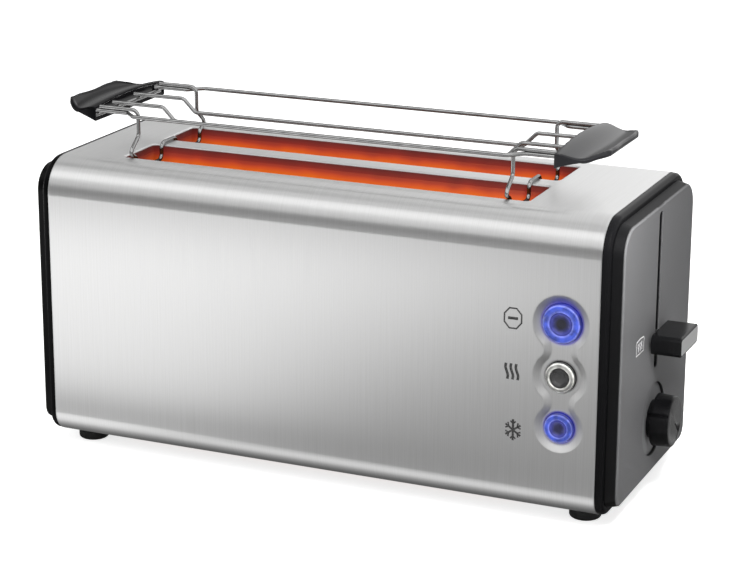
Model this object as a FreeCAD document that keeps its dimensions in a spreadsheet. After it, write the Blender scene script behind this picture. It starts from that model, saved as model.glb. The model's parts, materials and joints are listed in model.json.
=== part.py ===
import FreeCAD, Part
import math
import os
import re
import Sketcher

# Long slot toaster for four slices. Millimetres, +Z up, X along the slots with the lever end at +X,
# the push buttons on the -Y side, the table at Z = 0.
os.makedirs("parts", exist_ok=True)
doc = FreeCAD.newDocument("long_slot_toaster")

# Driving dimensions, each one a cell of the sheet.
SIZES = {
    # Wrapped steel sleeve.
    "sleeve_length": 363,
    "sleeve_depth": 153,
    "sleeve_height": 181,
    "sheet": 0.8,
    "top_round": 22,
    "bottom_round": 15,
    "flange_width": 36,
    # Toast slots.
    "slot_left_inset": 38.2,
    "slot_right_inset": 55,
    "slot_edge": 29.5,
    "slot_web": 14.6,
    "slot_corner": 3,
    "lip_round": 1.1,
    "collar_depth": 5,
    "throat_sheet": 0.5,
    "throat_depth": 39,
    # Rubber feet.
    "foot_height": 8,
    "foot_across": 19.5,
    "foot_round": 2,
    "foot_end_inset": 13,
    "foot_side_inset": 25.5,
    "foot_well_across": 9,
    "foot_well_depth": 4,
    "screw_across": 4,
    "screw_head_across": 7.6,
    "screw_head_height": 2.4,
    "screw_hole_gap": 0.1,
    "boss_across": 9,
    "boss_height": 4,
    # Black ends.
    "end_gap": 0.3,
    "end_step": 5,
    "end_round": 2.8,
    "end_lip": 4.8,
    "spigot_depth": 4,
    "spigot_gap": 0.1,
    "panel_reach": 6.9,
    "panel_draft": 1.9,
    "panel_chamfer": 0.7,
    "panel_wall": 2.5,
    # Lever and its slot.
    "shelf_drop": 6.5,
    "lever_travel": 73,
    "lever_slot_width": 7,
    "lever_slot_below": 19.5,
    "lever_slot_above": 5,
    "lever_gap": 2,
    "lever_reach": 18.5,
    "lever_width": 37,
    "lever_thick": 12,
    "lever_corner": 3,
    "lever_edge": 0.9,
    "inlay_margin": 0.4,
    "inlay_thick": 0.8,
    "arm_thick": 3,
    "arm_tall": 8,
    "arm_bite": 8,
    # Browning knob.
    "knob_height": 40.5,
    "dish_across": 46,
    "dish_depth": 1.6,
    "knob_gap": 0.5,
    "knob_reach": 13.4,
    "knob_base_across": 33,
    "knob_face_across": 31,
    "knob_edge": 0.9,
    "groove_across": 3.2,
    "groove_sink": 0.3,
    "groove_angle": 28,
    "pointer_start": 2,
    "pointer_length": 10.5,
    "pointer_width": 1.1,
    "pointer_depth": 0.5,
    "pointer_angle": 46,
    "shaft_across": 6,
    "shaft_gap": 0.5,
    # Push buttons.
    "button_inset": 23.1,
    "stop_height": 118.2,
    "reheat_height": 85.6,
    "defrost_height": 54.4,
    "stop_ring_across": 24,
    "reheat_ring_across": 18.7,
    "defrost_ring_across": 18.2,
    "stop_cap_across": 13,
    "reheat_cap_across": 11.4,
    "defrost_cap_across": 10,
    "stop_lobe": 17.2,
    "reheat_lobe": 16.6,
    "defrost_lobe": 15,
    "upper_waist": 10,
    "lower_waist": 9.2,
    "recess_depth": 2.2,
    "recess_slope": 4,
    "button_gap": 0.3,
    "button_proud": 1,
    "button_edge": 1.2,
    "ring_outer_round": 2.3,
    "ring_inner_round": 1.2,
    "cap_dish": 1.1,
    "button_flange": 1,
    "button_flange_thick": 1,
    "button_travel": 1.5,
    "stem_across": 5,
    "stem_gap": 0.1,
    "carrier_thick": 2,
    "carrier_width": 35,
    "carrier_margin": 19,
    "post_across": 4.4,
    "board_thick": 1.6,
    "carrier_to_board": 9,
    "switch_wide": 6,
    "switch_tall": 3.5,
    # Inner frame.
    "base_thick": 1.2,
    "base_margin": 1.5,
    "plate_clear": 7.1,
    "plate_sheet": 0.8,
    "plate_margin": 2,
    "plate_headroom": 4.8,
    "lift_slot_width": 4,
    "lift_slot_gap": 3,
    "reflector_sheet": 0.6,
    "reflector_low": 30,
    "reflector_headroom": 17,
    "reflector_lip": 6,
    "vent_wide": 3,
    "vent_long": 30,
    "vent_pitch": 18,
    "vent_count": 11,
    # Heaters and guards.
    "board_low": 42,
    "board_drop": 1,
    "mica_thick": 1,
    "board_clear": 3.9,
    "ribbon_wide": 2.4,
    "ribbon_thick": 0.3,
    "ribbon_headroom": 10,
    "ribbon_rows": 9,
    "ribbon_margin": 8,
    "guard_wire": 1.6,
    "outer_guard_clear": 2.5,
    "inner_guard_clear": 2.7,
    "guard_low": 40,
    "guard_headroom": 12,
    "guard_end": 15.25,
    "guard_count": 10,
    # Lift mechanism.
    "rod_across": 5,
    "rod_reach": 18,
    "rod_gap": 0.1,
    "rod_foot_across": 11,
    "rod_foot_tall": 5,
    "shelf_width": 32,
    "shelf_margin": 8.8,
    "hub_across": 14,
    "hub_low": 46.5,
    "web_thick": 1.2,
    "web_wide": 16,
    "cross_margin": 5.4,
    "cross_tall": 12,
    "lift_floor": 47,
    "lift_thick": 1,
    "lift_tall": 8,
    "lift_end": 6,
    "fin_wide": 24,
    "fin_long": 6,
    "fin_thick": 1.2,
    "fin_end": 18.25,
    "fin_count": 7,
    "spring_across": 6.4,
    "spring_wire": 0.8,
    "spring_y": 11.4,
    "ear_thick": 1.5,
    "armature_long": 12,
    "armature_wide": 24,
    "armature_thick": 2,
    "magnet_gap": 0.3,
    "magnet_tall": 27,
    "coil_tall": 18,
    "magnet_pole": 6,
    "pcb_reach": 18,
    "pcb_wide": 100,
    "pcb_low": 12,
    "pcb_high": 80,
    "pot_side": 17,
    "pot_deep": 8,
    "pcb_post_across": 6,
    "pcb_post_inset": 6,
    # Crumb tray and cord gland.
    "tray_low": 9,
    "tray_sheet": 0.8,
    "tray_width": 74,
    "tray_wall": 6,
    "tray_short": 6,
    "tray_gap": 0.3,
    "pull_tall": 14,
    "pull_thick": 8,
    "pull_margin": 2,
    "grip_wide": 46,
    "grip_tall": 8,
    "grip_deep": 5,
    "rail_wide": 3,
    "rail_y": 30,
    "rail_lead": 3.2,
    "gland_inset": 31.5,
    "gland_y": 28,
    "gland_across": 13,
    "gland_bore": 7,
    "gland_tall": 12,
    "gland_drop": 3,
    "gland_collar": 2,
    "gland_collar_thick": 2,
    # Warming rack.
    "rack_shift": -3.1,
    "wire": 2.5,
    "bend": 4,
    "rack_rise": 26.3,
    "leg_inset": 9.9,
    "leg_in": 3.5,
    "rail_bow": 8.5,
    "jog_inset": 1.2,
    "socket_deep": 1.8,
    "inner_y": 14,
    "inner_dip": 8.5,
    "dip_inset": 12.5,
    "cross_inset": 1.5,
    "leg_run_short": 0.2,
    "flare_out": 5,
    "flare_top": 12.5,
    "flare_low": 6,
    "hip_out": 7,
    "hip": 2.8,
    "hook_gap": 4.2,
    "hook_top": -1,
    "hook_depth": 9,
    "saddle_in": 2.6,
    "saddle_gap": 0.3,
    "handle_reach": 27.2,
    "handle_deep": 28.8,
    "handle_margin": 6.5,
    "handle_low": -6,
    "handle_side": 2.9,
    "handle_arch": 6.2,
    "handle_wall": 1.4,
    "neck_deep": 8.5,
    "neck_narrows": 1.4,
    "neck_low": -3.2,
    "neck_side": 2,
    "neck_arch": 4.2,
    "dip_deep": 16.5,
    "dip_narrows": 5.2,
    "dip_low": -1.8,
    "dip_side": 0.7,
    "dip_arch": 1.9,
    "lip_deep": 23,
    "lip_narrows": 10.5,
    "lip_low": -0.7,
    "lip_side": 2.6,
    "lip_arch": 2.3,
    "tip_narrows": 19,
    "tip_low": 0.4,
    "tip_side": 4,
    "tip_arch": 3.4,
    "socket_inset": 3.2,
    "socket_wide": 5,
}

sheet = doc.addObject("Spreadsheet::Sheet", "Sizes")
for row, (alias, value) in enumerate(SIZES.items(), 1):
    sheet.set(f"A{row}", alias.replace("_", " "))
    sheet.set(f"B{row}", str(value))
    sheet.setAlias(f"B{row}", alias)
doc.recompute()

# Sizes and places that follow from the driving ones.
FOLLOWS = {
    "slot_length": "sleeve_length - slot_left_inset - slot_right_inset",
    "slot_centre": "(slot_left_inset - slot_right_inset) / 2",
    "slot_width": "sleeve_depth / 2 - slot_edge - slot_web / 2",
    "slot_offset": "(sleeve_depth / 2 - slot_edge + slot_web / 2) / 2",
    "slot_outer": "sleeve_depth / 2 - slot_edge",
    "foot_x": "sleeve_length / 2 - foot_end_inset",
    "foot_y": "sleeve_depth / 2 - foot_side_inset",
    "button_x": "sleeve_length / 2 - button_inset",
    "base_width": "sleeve_depth - 2 * (bottom_round + base_margin)",
    "plate_width": "base_width - 2 * plate_margin",
    "plate_left": "slot_centre - slot_length / 2 - plate_clear",
    "plate_right": "slot_centre + slot_length / 2 + plate_clear",
    "reflector_high": "foot_height + sleeve_height - reflector_headroom",
    "guard_high": "foot_height + sleeve_height - collar_depth - throat_depth - guard_headroom",
    "guard_pitch": "(slot_length - 2 * guard_end) / (guard_count - 1)",
    "outer_guard_y": "slot_outer + outer_guard_clear",
    "inner_guard_y": "slot_web / 2 - inner_guard_clear",
    "board_high": "guard_high - board_drop",
    "outer_board_y": "outer_guard_y + board_clear",
    "ribbon_pitch": "(board_high - board_low - ribbon_headroom - 2 * ribbon_wide) / (ribbon_rows - 1)",
    "rod_x": "plate_right + rod_reach",
    "pcb_x": "rod_x + pcb_reach",
    "shelf_reach": "rod_reach - plate_sheet + shelf_margin",
    "cross_wide": "2 * (slot_offset + cross_margin)",
    "fin_pitch": "(slot_length - 2 * fin_end) / (fin_count - 1)",
    "tray_end": "plate_right - tray_short",
    "gland_x": "sleeve_length / 2 - gland_inset",
    "rack_x": "slot_centre + rack_shift",
    "leg_x": "slot_length / 2 - leg_inset",
    "hook_y": "slot_outer - hook_gap",
    "saddle_y": "slot_web / 2 + saddle_in",
    "hip_y": "hook_y + hip_out",
    "flare_y": "hook_y + flare_out",
    "leg_y": "hook_y - leg_in",
    "rail_y_middle": "leg_y + rail_bow",
    "jog_x": "leg_x - jog_inset",
    "dip_x": "leg_x - dip_inset",
    "handle_in": "leg_x + handle_reach",
    "handle_out": "handle_in + handle_deep",
    "handle_wide": "2 * (leg_y + handle_margin)",
    "cross_x": "handle_in + cross_inset",
    "leg_run_end": "handle_in - leg_run_short",
    "socket_start": "handle_in + socket_inset",
    "rail_end": "socket_start + socket_deep",
}

# Places that several pieces share, worked out from the sizes.
HALF_LENGTH = "(sleeve_length / 2)"
HALF_DEPTH = "(sleeve_depth / 2)"
TOP = "(foot_height + sleeve_height)"
PANEL_FACE = "(sleeve_length / 2 + end_step + panel_reach)"
SPIGOT_END = "(sleeve_length / 2 - spigot_depth)"
BASE_LOW = "(foot_height + sheet)"
BASE_TOP = "(foot_height + sheet + base_thick)"
COLLAR_END = f"({TOP} - collar_depth)"
SHELF_LOW = f"({TOP} - shelf_drop)"
HUB_TOP = f"({SHELF_LOW} - lift_slot_gap - lever_travel)"
HUB_LOW = "(foot_height + hub_low)"
LEVER_Z = f"({HUB_TOP} - ear_thick - arm_tall / 2)"
LEVER_END = f"({PANEL_FACE} + lever_gap + lever_reach)"
KNOB_Z = "(foot_height + knob_height)"
PLATE_TOP = f"({TOP} - plate_headroom)"
RAIL_Z = f"({TOP} + rack_rise)"
RECESS_BACK = f"(-{HALF_DEPTH} + recess_depth + sheet)"
FLANGE_FRONT = f"({RECESS_BACK} + button_gap)"
CARRIER_FRONT = f"({FLANGE_FRONT} + button_flange_thick + button_travel + button_gap)"
CARRIER_BACK = f"({CARRIER_FRONT} + carrier_thick)"
BOARD_FRONT = f"({CARRIER_BACK} + carrier_to_board)"
WEB_X = "(rod_x - hub_across / 2 - web_thick)"
ARMATURE_LOW = f"({HUB_LOW} - armature_thick)"
TRAY_FLOOR = "(foot_height + tray_low)"
PULL_LOW = f"({TRAY_FLOOR} - tray_gap)"
BUTTONS = ("stop", "reheat", "defrost")
PARTS = []


def bound(formula):
    """The formula with every size in it read from the sheet."""
    def cell(word):
        if word.group() in FOLLOWS:
            return f"({bound(FOLLOWS[word.group()])})"
        return f"Sizes.{word.group()}" if word.group() in SIZES else word.group()
    return re.sub(r"[a-z_]+", cell, str(formula))


def number(formula):
    """What a formula comes to with the sizes as they are."""
    return float(sheet.evalExpression(bound(formula)))


def bind(thing, setting, formula):
    thing.setExpression(setting, bound(formula))


def settle(part):
    """The frame's origin is under the middle of the whole: lever to left end, buttons to back."""
    bind(part, "Placement.Base.x", "-(lever_gap + lever_reach) / 2")
    bind(part, "Placement.Base.y", "button_proud / 2")
    PARTS.append(part)


def piece(name):
    body = doc.addObject("PartDesign::Body", name)
    body.Label = name
    settle(body)
    return body


def sketch(body, name, facing, at, x="0", y="0"):
    """A sketch on a plane of the body: facing top, front or side, at that Z, Y or X."""
    role = {"top": "XY_Plane", "front": "XZ_Plane", "side": "YZ_Plane"}[facing]
    plane = next(item for item in body.Origin.OriginFeatures if item.Role == role)
    made = body.newObject("Sketcher::SketchObject", f"{body.Label}_{name}")
    made.AttachmentSupport = [(plane, "")]
    made.MapMode = "FlatFace"
    bind(made, "AttachmentOffset.Base.z", f"-({at})" if facing == "front" else at)
    bind(made, "AttachmentOffset.Base.x", x)
    bind(made, "AttachmentOffset.Base.y", y)
    return made


def tie(made, kind, places, formula):
    """One driving dimension of a sketch, tied to the sheet."""
    index = made.addConstraint(Sketcher.Constraint(kind, *places, number(formula)))
    bind(made, f"Constraints[{index}]", formula)


def outline(made, corners):
    """Lines through the corners, with an arc where a corner has a radius third, all tied to the sheet."""
    points = [FreeCAD.Vector(number(corner[0]), number(corner[1]), 0) for corner in corners]
    rounds = {i: corner[2] for i, corner in enumerate(corners) if len(corner) > 2}
    arrive, leave, arcs = [], [], {}
    for i, corner in enumerate(points):
        back = (points[i - 1] - corner).normalize()
        ahead = (points[(i + 1) % len(points)] - corner).normalize()
        if i in rounds:
            radius = number(rounds[i])
            half = back.getAngle(ahead) / 2
            start = corner + back * (radius / math.tan(half))
            end = corner + ahead * (radius / math.tan(half))
            middle = corner + (back + ahead).normalize() * (radius / math.sin(half) - radius)
            arcs[i] = (Part.Arc(start, middle, end), back.cross(ahead).z < 0)
            arrive.append(start)
            leave.append(end)
        else:
            arrive.append(corner)
            leave.append(corner)
    lines = []
    for i, start in enumerate(leave):
        lines.append(made.addGeometry(Part.LineSegment(start, arrive[(i + 1) % len(points)]), False))
    for i, corner in enumerate(corners):
        before, after = lines[i - 1], lines[i]
        if i in rounds:
            arc = made.addGeometry(arcs[i][0], False)
            peak = made.addGeometry(Part.Point(points[i]), True)
            first, last = (1, 2) if arcs[i][1] else (2, 1)
            made.addConstraint(Sketcher.Constraint("Tangent", before, 2, arc, first))
            made.addConstraint(Sketcher.Constraint("Tangent", arc, last, after, 1))
            made.addConstraint(Sketcher.Constraint("PointOnObject", peak, 1, before))
            made.addConstraint(Sketcher.Constraint("PointOnObject", peak, 1, after))
            tie(made, "Radius", (arc,), rounds[i])
            held = (-1, 1, peak, 1)
        else:
            made.addConstraint(Sketcher.Constraint("Coincident", before, 2, after, 1))
            held = (-1, 1, after, 1)
        tie(made, "DistanceX", held, corner[0])
        tie(made, "DistanceY", held, corner[1])


def rectangle(made, x, y, width, height, corner=None):
    left, right = f"({x}) - ({width}) / 2", f"({x}) + ({width}) / 2"
    low, high = f"({y}) - ({height}) / 2", f"({y}) + ({height}) / 2"
    rounding = (corner,) if corner else ()
    outline(made, [(x, y, *rounding) for x, y in ((left, low), (right, low), (right, high), (left, high))])


def circle(made, x, y, across):
    place = FreeCAD.Vector(number(x), number(y), 0)
    ring = made.addGeometry(Part.Circle(place, FreeCAD.Vector(0, 0, 1), number(across) / 2), False)
    tie(made, "DistanceX", (-1, 1, ring, 3), x)
    tie(made, "DistanceY", (-1, 1, ring, 3), y)
    tie(made, "Radius", (ring,), f"({across}) / 2")


def facing_front(made):
    return made.AttachmentSupport[0][0].Role == "XZ_Plane"


def pad(made, length, toward=1):
    """Material from the sketch toward the plus or minus side of the axis it faces."""
    body = made.getParentGeoFeatureGroup()
    grown = body.newObject("PartDesign::Pad", f"{made.Label}_pad")
    grown.Profile = made
    bind(grown, "Length", length)
    grown.Reversed = (toward > 0) == facing_front(made)
    doc.recompute()
    return grown


def pocket(made, length, toward=-1):
    """A cut from the sketch toward the plus or minus side of the axis it faces."""
    body = made.getParentGeoFeatureGroup()
    before = body.Shape.Volume
    cut = body.newObject("PartDesign::Pocket", f"{made.Label}_cut")
    cut.Profile = made
    bind(cut, "Length", length)
    cut.Reversed = (toward < 0) == facing_front(made)
    doc.recompute()
    if cut.Shape.Volume >= before:
        raise ValueError(f"{made.Label} cuts nothing")
    return cut


def revolve(made, axis="V_Axis"):
    """A turned form about one of the sketch's own axes."""
    body = made.getParentGeoFeatureGroup()
    turned = body.newObject("PartDesign::Revolution", f"{made.Label}_turn")
    turned.Profile = made
    turned.ReferenceAxis = (made, [axis])
    doc.recompute()
    return turned


def loft(kind, first, *others):
    body = first.getParentGeoFeatureGroup()
    made = body.newObject(f"PartDesign::{kind}Loft", f"{first.Label}_loft")
    made.Profile = first
    made.Sections = list(others)
    doc.recompute()
    return made


def edges(body, test):
    return [f"Edge{i + 1}" for i, edge in enumerate(body.Tip.Shape.Edges) if test(edge)]


def fillet(body, name, test, radius):
    base = body.Tip
    chosen = edges(body, test)
    if not chosen:
        raise ValueError(f"{name} finds no edge")
    made = body.newObject("PartDesign::Fillet", f"{body.Label}_{name}")
    made.Base = (base, chosen)
    bind(made, "Radius", radius)
    doc.recompute()
    return made


def chamfer(body, name, test, size):
    base = body.Tip
    chosen = edges(body, test)
    if not chosen:
        raise ValueError(f"{name} finds no edge")
    made = body.newObject("PartDesign::Chamfer", f"{body.Label}_{name}")
    made.Base = (base, chosen)
    bind(made, "Size", size)
    doc.recompute()
    return made


def row_of(features, axis, pitch, count):
    """Copies of features along an axis of their body, at a steady pitch."""
    body = features[0].getParentGeoFeatureGroup()
    line = next(item for item in body.Origin.OriginFeatures if item.Role == f"{axis}_Axis")
    made = body.newObject("PartDesign::LinearPattern", f"{features[0].Label}_row")
    made.Originals = features
    made.Direction = (line, [""])
    made.Mode = "Spacing" if "Spacing" in made.getEnumerationsOfProperty("Mode") else made.Mode
    bind(made, "Offset", pitch)
    bind(made, "Occurrences", count)
    body.Tip = made
    doc.recompute()
    return made


def box(body, name, x, y, z, toward=1):
    """A block given by its two ends on each axis."""
    made = sketch(body, name, "top", z[0])
    rectangle(made, f"(({x[0]}) + ({x[1]})) / 2", f"(({y[0]}) + ({y[1]})) / 2",
              f"({x[1]}) - ({x[0]})", f"({y[1]}) - ({y[0]})")
    return pad(made, f"({z[1]}) - ({z[0]})", toward)


def at_height(edge, z):
    return all(abs(vertex.Z - z) < 1e-4 for vertex in edge.Vertexes) and abs(edge.BoundBox.ZLength) < 1e-3


def at_x(edge, x):
    return abs(edge.BoundBox.XMin - x) < 1e-3 and abs(edge.BoundBox.XMax - x) < 1e-3


def end_outline(made, inset):
    """The sleeve's end profile, drawn in by an inset."""
    y, low, high = f"{HALF_DEPTH} - ({inset})", f"foot_height + ({inset})", f"{TOP} - ({inset})"
    under, over = f"bottom_round - ({inset})", f"top_round - ({inset})"
    outline(made, [(f"-({y})", low, under), (y, low, under), (y, high, over), (f"-({y})", high, over)])


def recess_outline(made, grow):
    """Three round lobes joined by hollow waists, grown outwards by an amount."""
    lobes = [(number(f"foot_height + {name}_height"), number(f"{name}_lobe")) for name in BUTTONS]
    waists = (number("upper_waist"), number("lower_waist"))
    middle = number("button_x")
    extra = number(grow)
    hollows = []
    for (z_one, r_one), (z_two, r_two), waist in zip(lobes, lobes[1:], waists):
        # The hollow's circle touches both lobes and passes at the waist's half width.
        gap = z_one - z_two
        start = (z_one + z_two) / 2 - (r_one ** 2 - r_two ** 2) / (2 * gap)
        slope = -(r_one - r_two) / gap
        a = slope ** 2
        b = 2 * slope * (start - z_one) + 2 * (waist - r_one)
        c = (start - z_one) ** 2 + waist ** 2 - r_one ** 2
        radius = (-b - math.sqrt(b * b - 4 * a * c)) / (2 * a) if a > 1e-12 else -c / b
        hollows.append((start + slope * radius, radius, waist + radius))
    right = []
    for i, (z, r) in enumerate(lobes):
        up, down = math.pi / 2, -math.pi / 2
        if i > 0:
            zc, rc, xc = hollows[i - 1]
            up = math.atan2(zc - z, xc)
        if i < len(hollows):
            zc, rc, xc = hollows[i]
            down = math.atan2(zc - z, xc)
        right.append((0, z, r + extra, down, up))
        if i < len(hollows):
            zc, rc, xc = hollows[i]
            z_next = lobes[i + 1][0]
            to_this, to_next = math.atan2(z - zc, -xc), math.atan2(z_next - zc, -xc)
            right.append((xc, zc, rc - extra, to_this, to_next))
    for x, z, r, begin, end in right:
        for side in (1, -1):
            def at(angle):
                return FreeCAD.Vector(middle + side * (x + r * math.cos(angle)), z + r * math.sin(angle), 0)
            if x > 0 and end < 0:
                end += 2 * math.pi
            made.addGeometry(Part.Arc(at(begin), at((begin + end) / 2), at(end)), False)


def steel_sleeve():
    body = piece("steel_sleeve")
    strip = sketch(body, "strip", "side", f"-{HALF_LENGTH}")
    y, inner = HALF_DEPTH, f"{HALF_DEPTH} - sheet"
    lap = f"{HALF_DEPTH} - flange_width"
    high, inner_high = TOP, f"{TOP} - sheet"
    under, over = "bottom_round - sheet", "top_round - sheet"
    outline(strip, [
        (f"-({lap})", "foot_height"), (f"-({y})", "foot_height", "bottom_round"), (f"-({y})", high, "top_round"),
        (y, high, "top_round"), (y, "foot_height", "bottom_round"), (lap, "foot_height"), (lap, BASE_LOW),
        (inner, BASE_LOW, under), (inner, inner_high, over), (f"-({inner})", inner_high, over),
        (f"-({inner})", BASE_LOW, under), (f"-({lap})", BASE_LOW),
    ])
    pad(strip, "sleeve_length")
    for name, y in (("front", "-slot_offset"), ("back", "slot_offset")):
        collar = sketch(body, f"{name}_collar", "top", f"{TOP} - sheet / 2")
        rectangle(collar, "slot_centre", y, "slot_length + 2 * sheet", "slot_width + 2 * sheet",
                  "slot_corner + sheet")
        pad(collar, "collar_depth - sheet / 2", -1)
        hole = sketch(body, f"{name}_slot", "top", TOP)
        rectangle(hole, "slot_centre", y, "slot_length", "slot_width", "slot_corner")
        pocket(hole, "2 * collar_depth")
    top, under = number(TOP), number(f"{TOP} - sheet")
    reach = number("slot_length / 2 + 2 * sheet")
    middle = number("slot_centre")

    def beside_slot(edge):
        bounds = edge.BoundBox
        return (abs(bounds.XMin - middle) < reach and abs(bounds.XMax - middle) < reach
                and max(abs(bounds.YMin), abs(bounds.YMax)) < number("slot_offset + slot_width"))
    fillet(body, "collar_root", lambda e: at_height(e, under) and beside_slot(e), "lip_round - sheet")
    fillet(body, "rolled_lip", lambda e: at_height(e, top) and beside_slot(e), "lip_round")
    bulge = sketch(body, "recess_back", "front", f"-{HALF_DEPTH} + sheet / 2")
    recess_outline(bulge, "sheet")
    floor = sketch(body, "recess_back_floor", "front", RECESS_BACK)
    recess_outline(floor, "sheet - recess_slope")
    loft("Additive", bulge, floor)
    mouth = sketch(body, "recess", "front", f"-{HALF_DEPTH}")
    recess_outline(mouth, "0")
    deep = sketch(body, "recess_floor", "front", f"-{HALF_DEPTH} + recess_depth")
    recess_outline(deep, "-recess_slope")
    loft("Subtractive", mouth, deep)
    for name in BUTTONS:
        hole = sketch(body, f"{name}_hole", "front", f"-{HALF_DEPTH} + recess_depth / 2")
        circle(hole, "button_x", f"foot_height + {name}_height", f"{name}_ring_across + 2 * button_gap")
        pocket(hole, "recess_depth + sheet", 1)
    holes = sketch(body, "foot_holes", "top", "foot_height")
    for x, y in FOOT_PLACES:
        circle(holes, x, y, "screw_across + 2 * screw_hole_gap")
    pocket(holes, "2 * sheet", 1)


FOOT_PLACES = [(x, y) for x in ("-foot_x", "foot_x") for y in ("-foot_y", "foot_y")]


def end_frame(name, side):
    """The black ring that caps one end of the sleeve, with a spigot inside it."""
    body = piece(name)
    ring = sketch(body, "ring", "side", f"{side} * {HALF_LENGTH}")
    end_outline(ring, "end_gap")
    pad(ring, "end_step", side)
    face = number(f"{side} * ({HALF_LENGTH} + end_step)")
    fillet(body, "rim", lambda e: at_x(e, face), "end_round")
    spigot = sketch(body, "spigot", "side", f"{side} * {HALF_LENGTH}")
    end_outline(spigot, "sheet + spigot_gap")
    pad(spigot, "spigot_depth", -side)
    hole = sketch(body, "opening", "side", f"{side} * {SPIGOT_END}")
    end_outline(hole, "end_lip")
    pocket(hole, "spigot_depth + 2 * end_step", side)


def end_panel(name, side):
    """The second step of an end: a drafted shell plugged into its frame."""
    body = piece(name)
    plug = sketch(body, "plug", "side", f"{side} * {SPIGOT_END}")
    end_outline(plug, "end_lip")
    pad(plug, "spigot_depth + end_step", side)
    root = sketch(body, "step_root", "side", f"{side} * ({HALF_LENGTH} + end_step)")
    end_outline(root, "end_lip")
    face = sketch(body, "step_face", "side", f"{side} * {PANEL_FACE}")
    end_outline(face, "end_lip + panel_draft")
    loft("Additive", root, face)
    outer = number(f"{side} * {PANEL_FACE}")
    chamfer(body, "edge", lambda e: at_x(e, outer), "panel_chamfer")
    hollow = sketch(body, "hollow", "side", f"{side} * {SPIGOT_END}")
    end_outline(hollow, "end_lip + panel_wall")
    pocket(hollow, "spigot_depth + end_step + panel_reach - panel_wall", side)
    return body


def control_panel():
    body = end_panel("control_panel", 1)
    slot = sketch(body, "lever_slot", "side", PANEL_FACE)
    low, high = f"({LEVER_Z} - lever_slot_below)", f"({LEVER_Z} + lever_travel + lever_slot_above)"
    rectangle(slot, "0", f"({low} + {high}) / 2", "lever_slot_width", f"{high} - {low}",
              "lever_slot_width * 0.45")
    pocket(slot, "2 * panel_wall")
    dish = sketch(body, "knob_dish", "side", PANEL_FACE)
    circle(dish, "0", KNOB_Z, "dish_across")
    pocket(dish, "dish_depth")
    hole = sketch(body, "shaft_hole", "side", PANEL_FACE)
    circle(hole, "0", KNOB_Z, "shaft_across + 2 * shaft_gap")
    pocket(hole, "2 * panel_wall")
    posts = sketch(body, "board_posts", "side", f"{PANEL_FACE} - panel_wall")
    for y in ("-(pcb_wide / 2 - pcb_post_inset)", "pcb_wide / 2 - pcb_post_inset"):
        for z in ("pcb_low + pcb_post_inset", "pcb_high - pcb_post_inset"):
            circle(posts, y, f"foot_height + {z}", "pcb_post_across")
    pad(posts, f"{PANEL_FACE} - panel_wall - pcb_x - board_thick", -1)


def left_end_cover():
    body = end_panel("left_end_cover", -1)
    hole = sketch(body, "tray_opening", "side", f"-{PANEL_FACE}")
    rectangle(hole, "0", f"{PULL_LOW} + pull_tall / 2 + tray_gap", "tray_width + 2 * (pull_margin + tray_gap)",
              "pull_tall + 2 * tray_gap")
    pocket(hole, "2 * panel_wall", 1)


def base_plate():
    body = piece("base_plate")
    box(body, "plate", (f"-{SPIGOT_END}", SPIGOT_END), ("-base_width / 2", "base_width / 2"),
        (BASE_LOW, BASE_TOP))
    bosses = sketch(body, "bosses", "top", BASE_TOP)
    for x, y in FOOT_PLACES:
        circle(bosses, x, y, "boss_across")
    pad(bosses, "boss_height")
    holes = sketch(body, "screw_holes", "top", f"{BASE_TOP} + boss_height")
    for x, y in FOOT_PLACES:
        circle(holes, x, y, "screw_across")
    pocket(holes, "boss_height + 2 * base_thick")
    for y in ("-rail_y", "rail_y"):
        box(body, f"tray_rail_{y[0]}", ("plate_left - rail_lead", "tray_end"),
            (f"{y} - rail_wide / 2", f"{y} + rail_wide / 2"), (BASE_TOP, f"{TRAY_FLOOR} - tray_gap"))
    rod_foot = sketch(body, "rod_foot", "top", BASE_TOP)
    circle(rod_foot, "rod_x", "0", "rod_foot_across")
    pad(rod_foot, "rod_foot_tall")
    gland = sketch(body, "gland_hole", "top", BASE_TOP)
    circle(gland, "gland_x", "gland_y", "gland_across")
    pocket(gland, "2 * base_thick")
    vent = sketch(body, "vent", "top", BASE_TOP)
    rectangle(vent, "-(vent_count - 1) * vent_pitch / 2", "0", "vent_wide", "vent_long", "vent_wide * 0.45")
    row_of([pocket(vent, "2 * base_thick")], "X", "vent_pitch", "vent_count")


def foot(name, x, y):
    """A rubber foot with a well for its screw."""
    body = piece(name)
    shape = sketch(body, "side", "front", y, x=x)
    r, well, bore = "foot_across / 2", "foot_well_across / 2", "screw_across / 2 + screw_hole_gap"
    outline(shape, [(bore, "foot_well_depth"), (well, "foot_well_depth"), (well, "0"), (r, "0", "foot_round"),
                    (r, "foot_height"), (bore, "foot_height")])
    revolve(shape)


def foot_screws():
    body = piece("foot_screws")
    for i, (x, y) in enumerate(FOOT_PLACES):
        shape = sketch(body, f"screw_{i + 1}", "front", y, x=x)
        head, shank, low = "screw_head_across / 2", "screw_across / 2", "foot_well_depth - screw_head_height"
        outline(shape, [("0", low), (head, low), (head, "foot_well_depth"), (shank, "foot_well_depth"),
                        (shank, f"{BASE_TOP} + boss_height"), ("0", f"{BASE_TOP} + boss_height")])
        revolve(shape)


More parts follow.
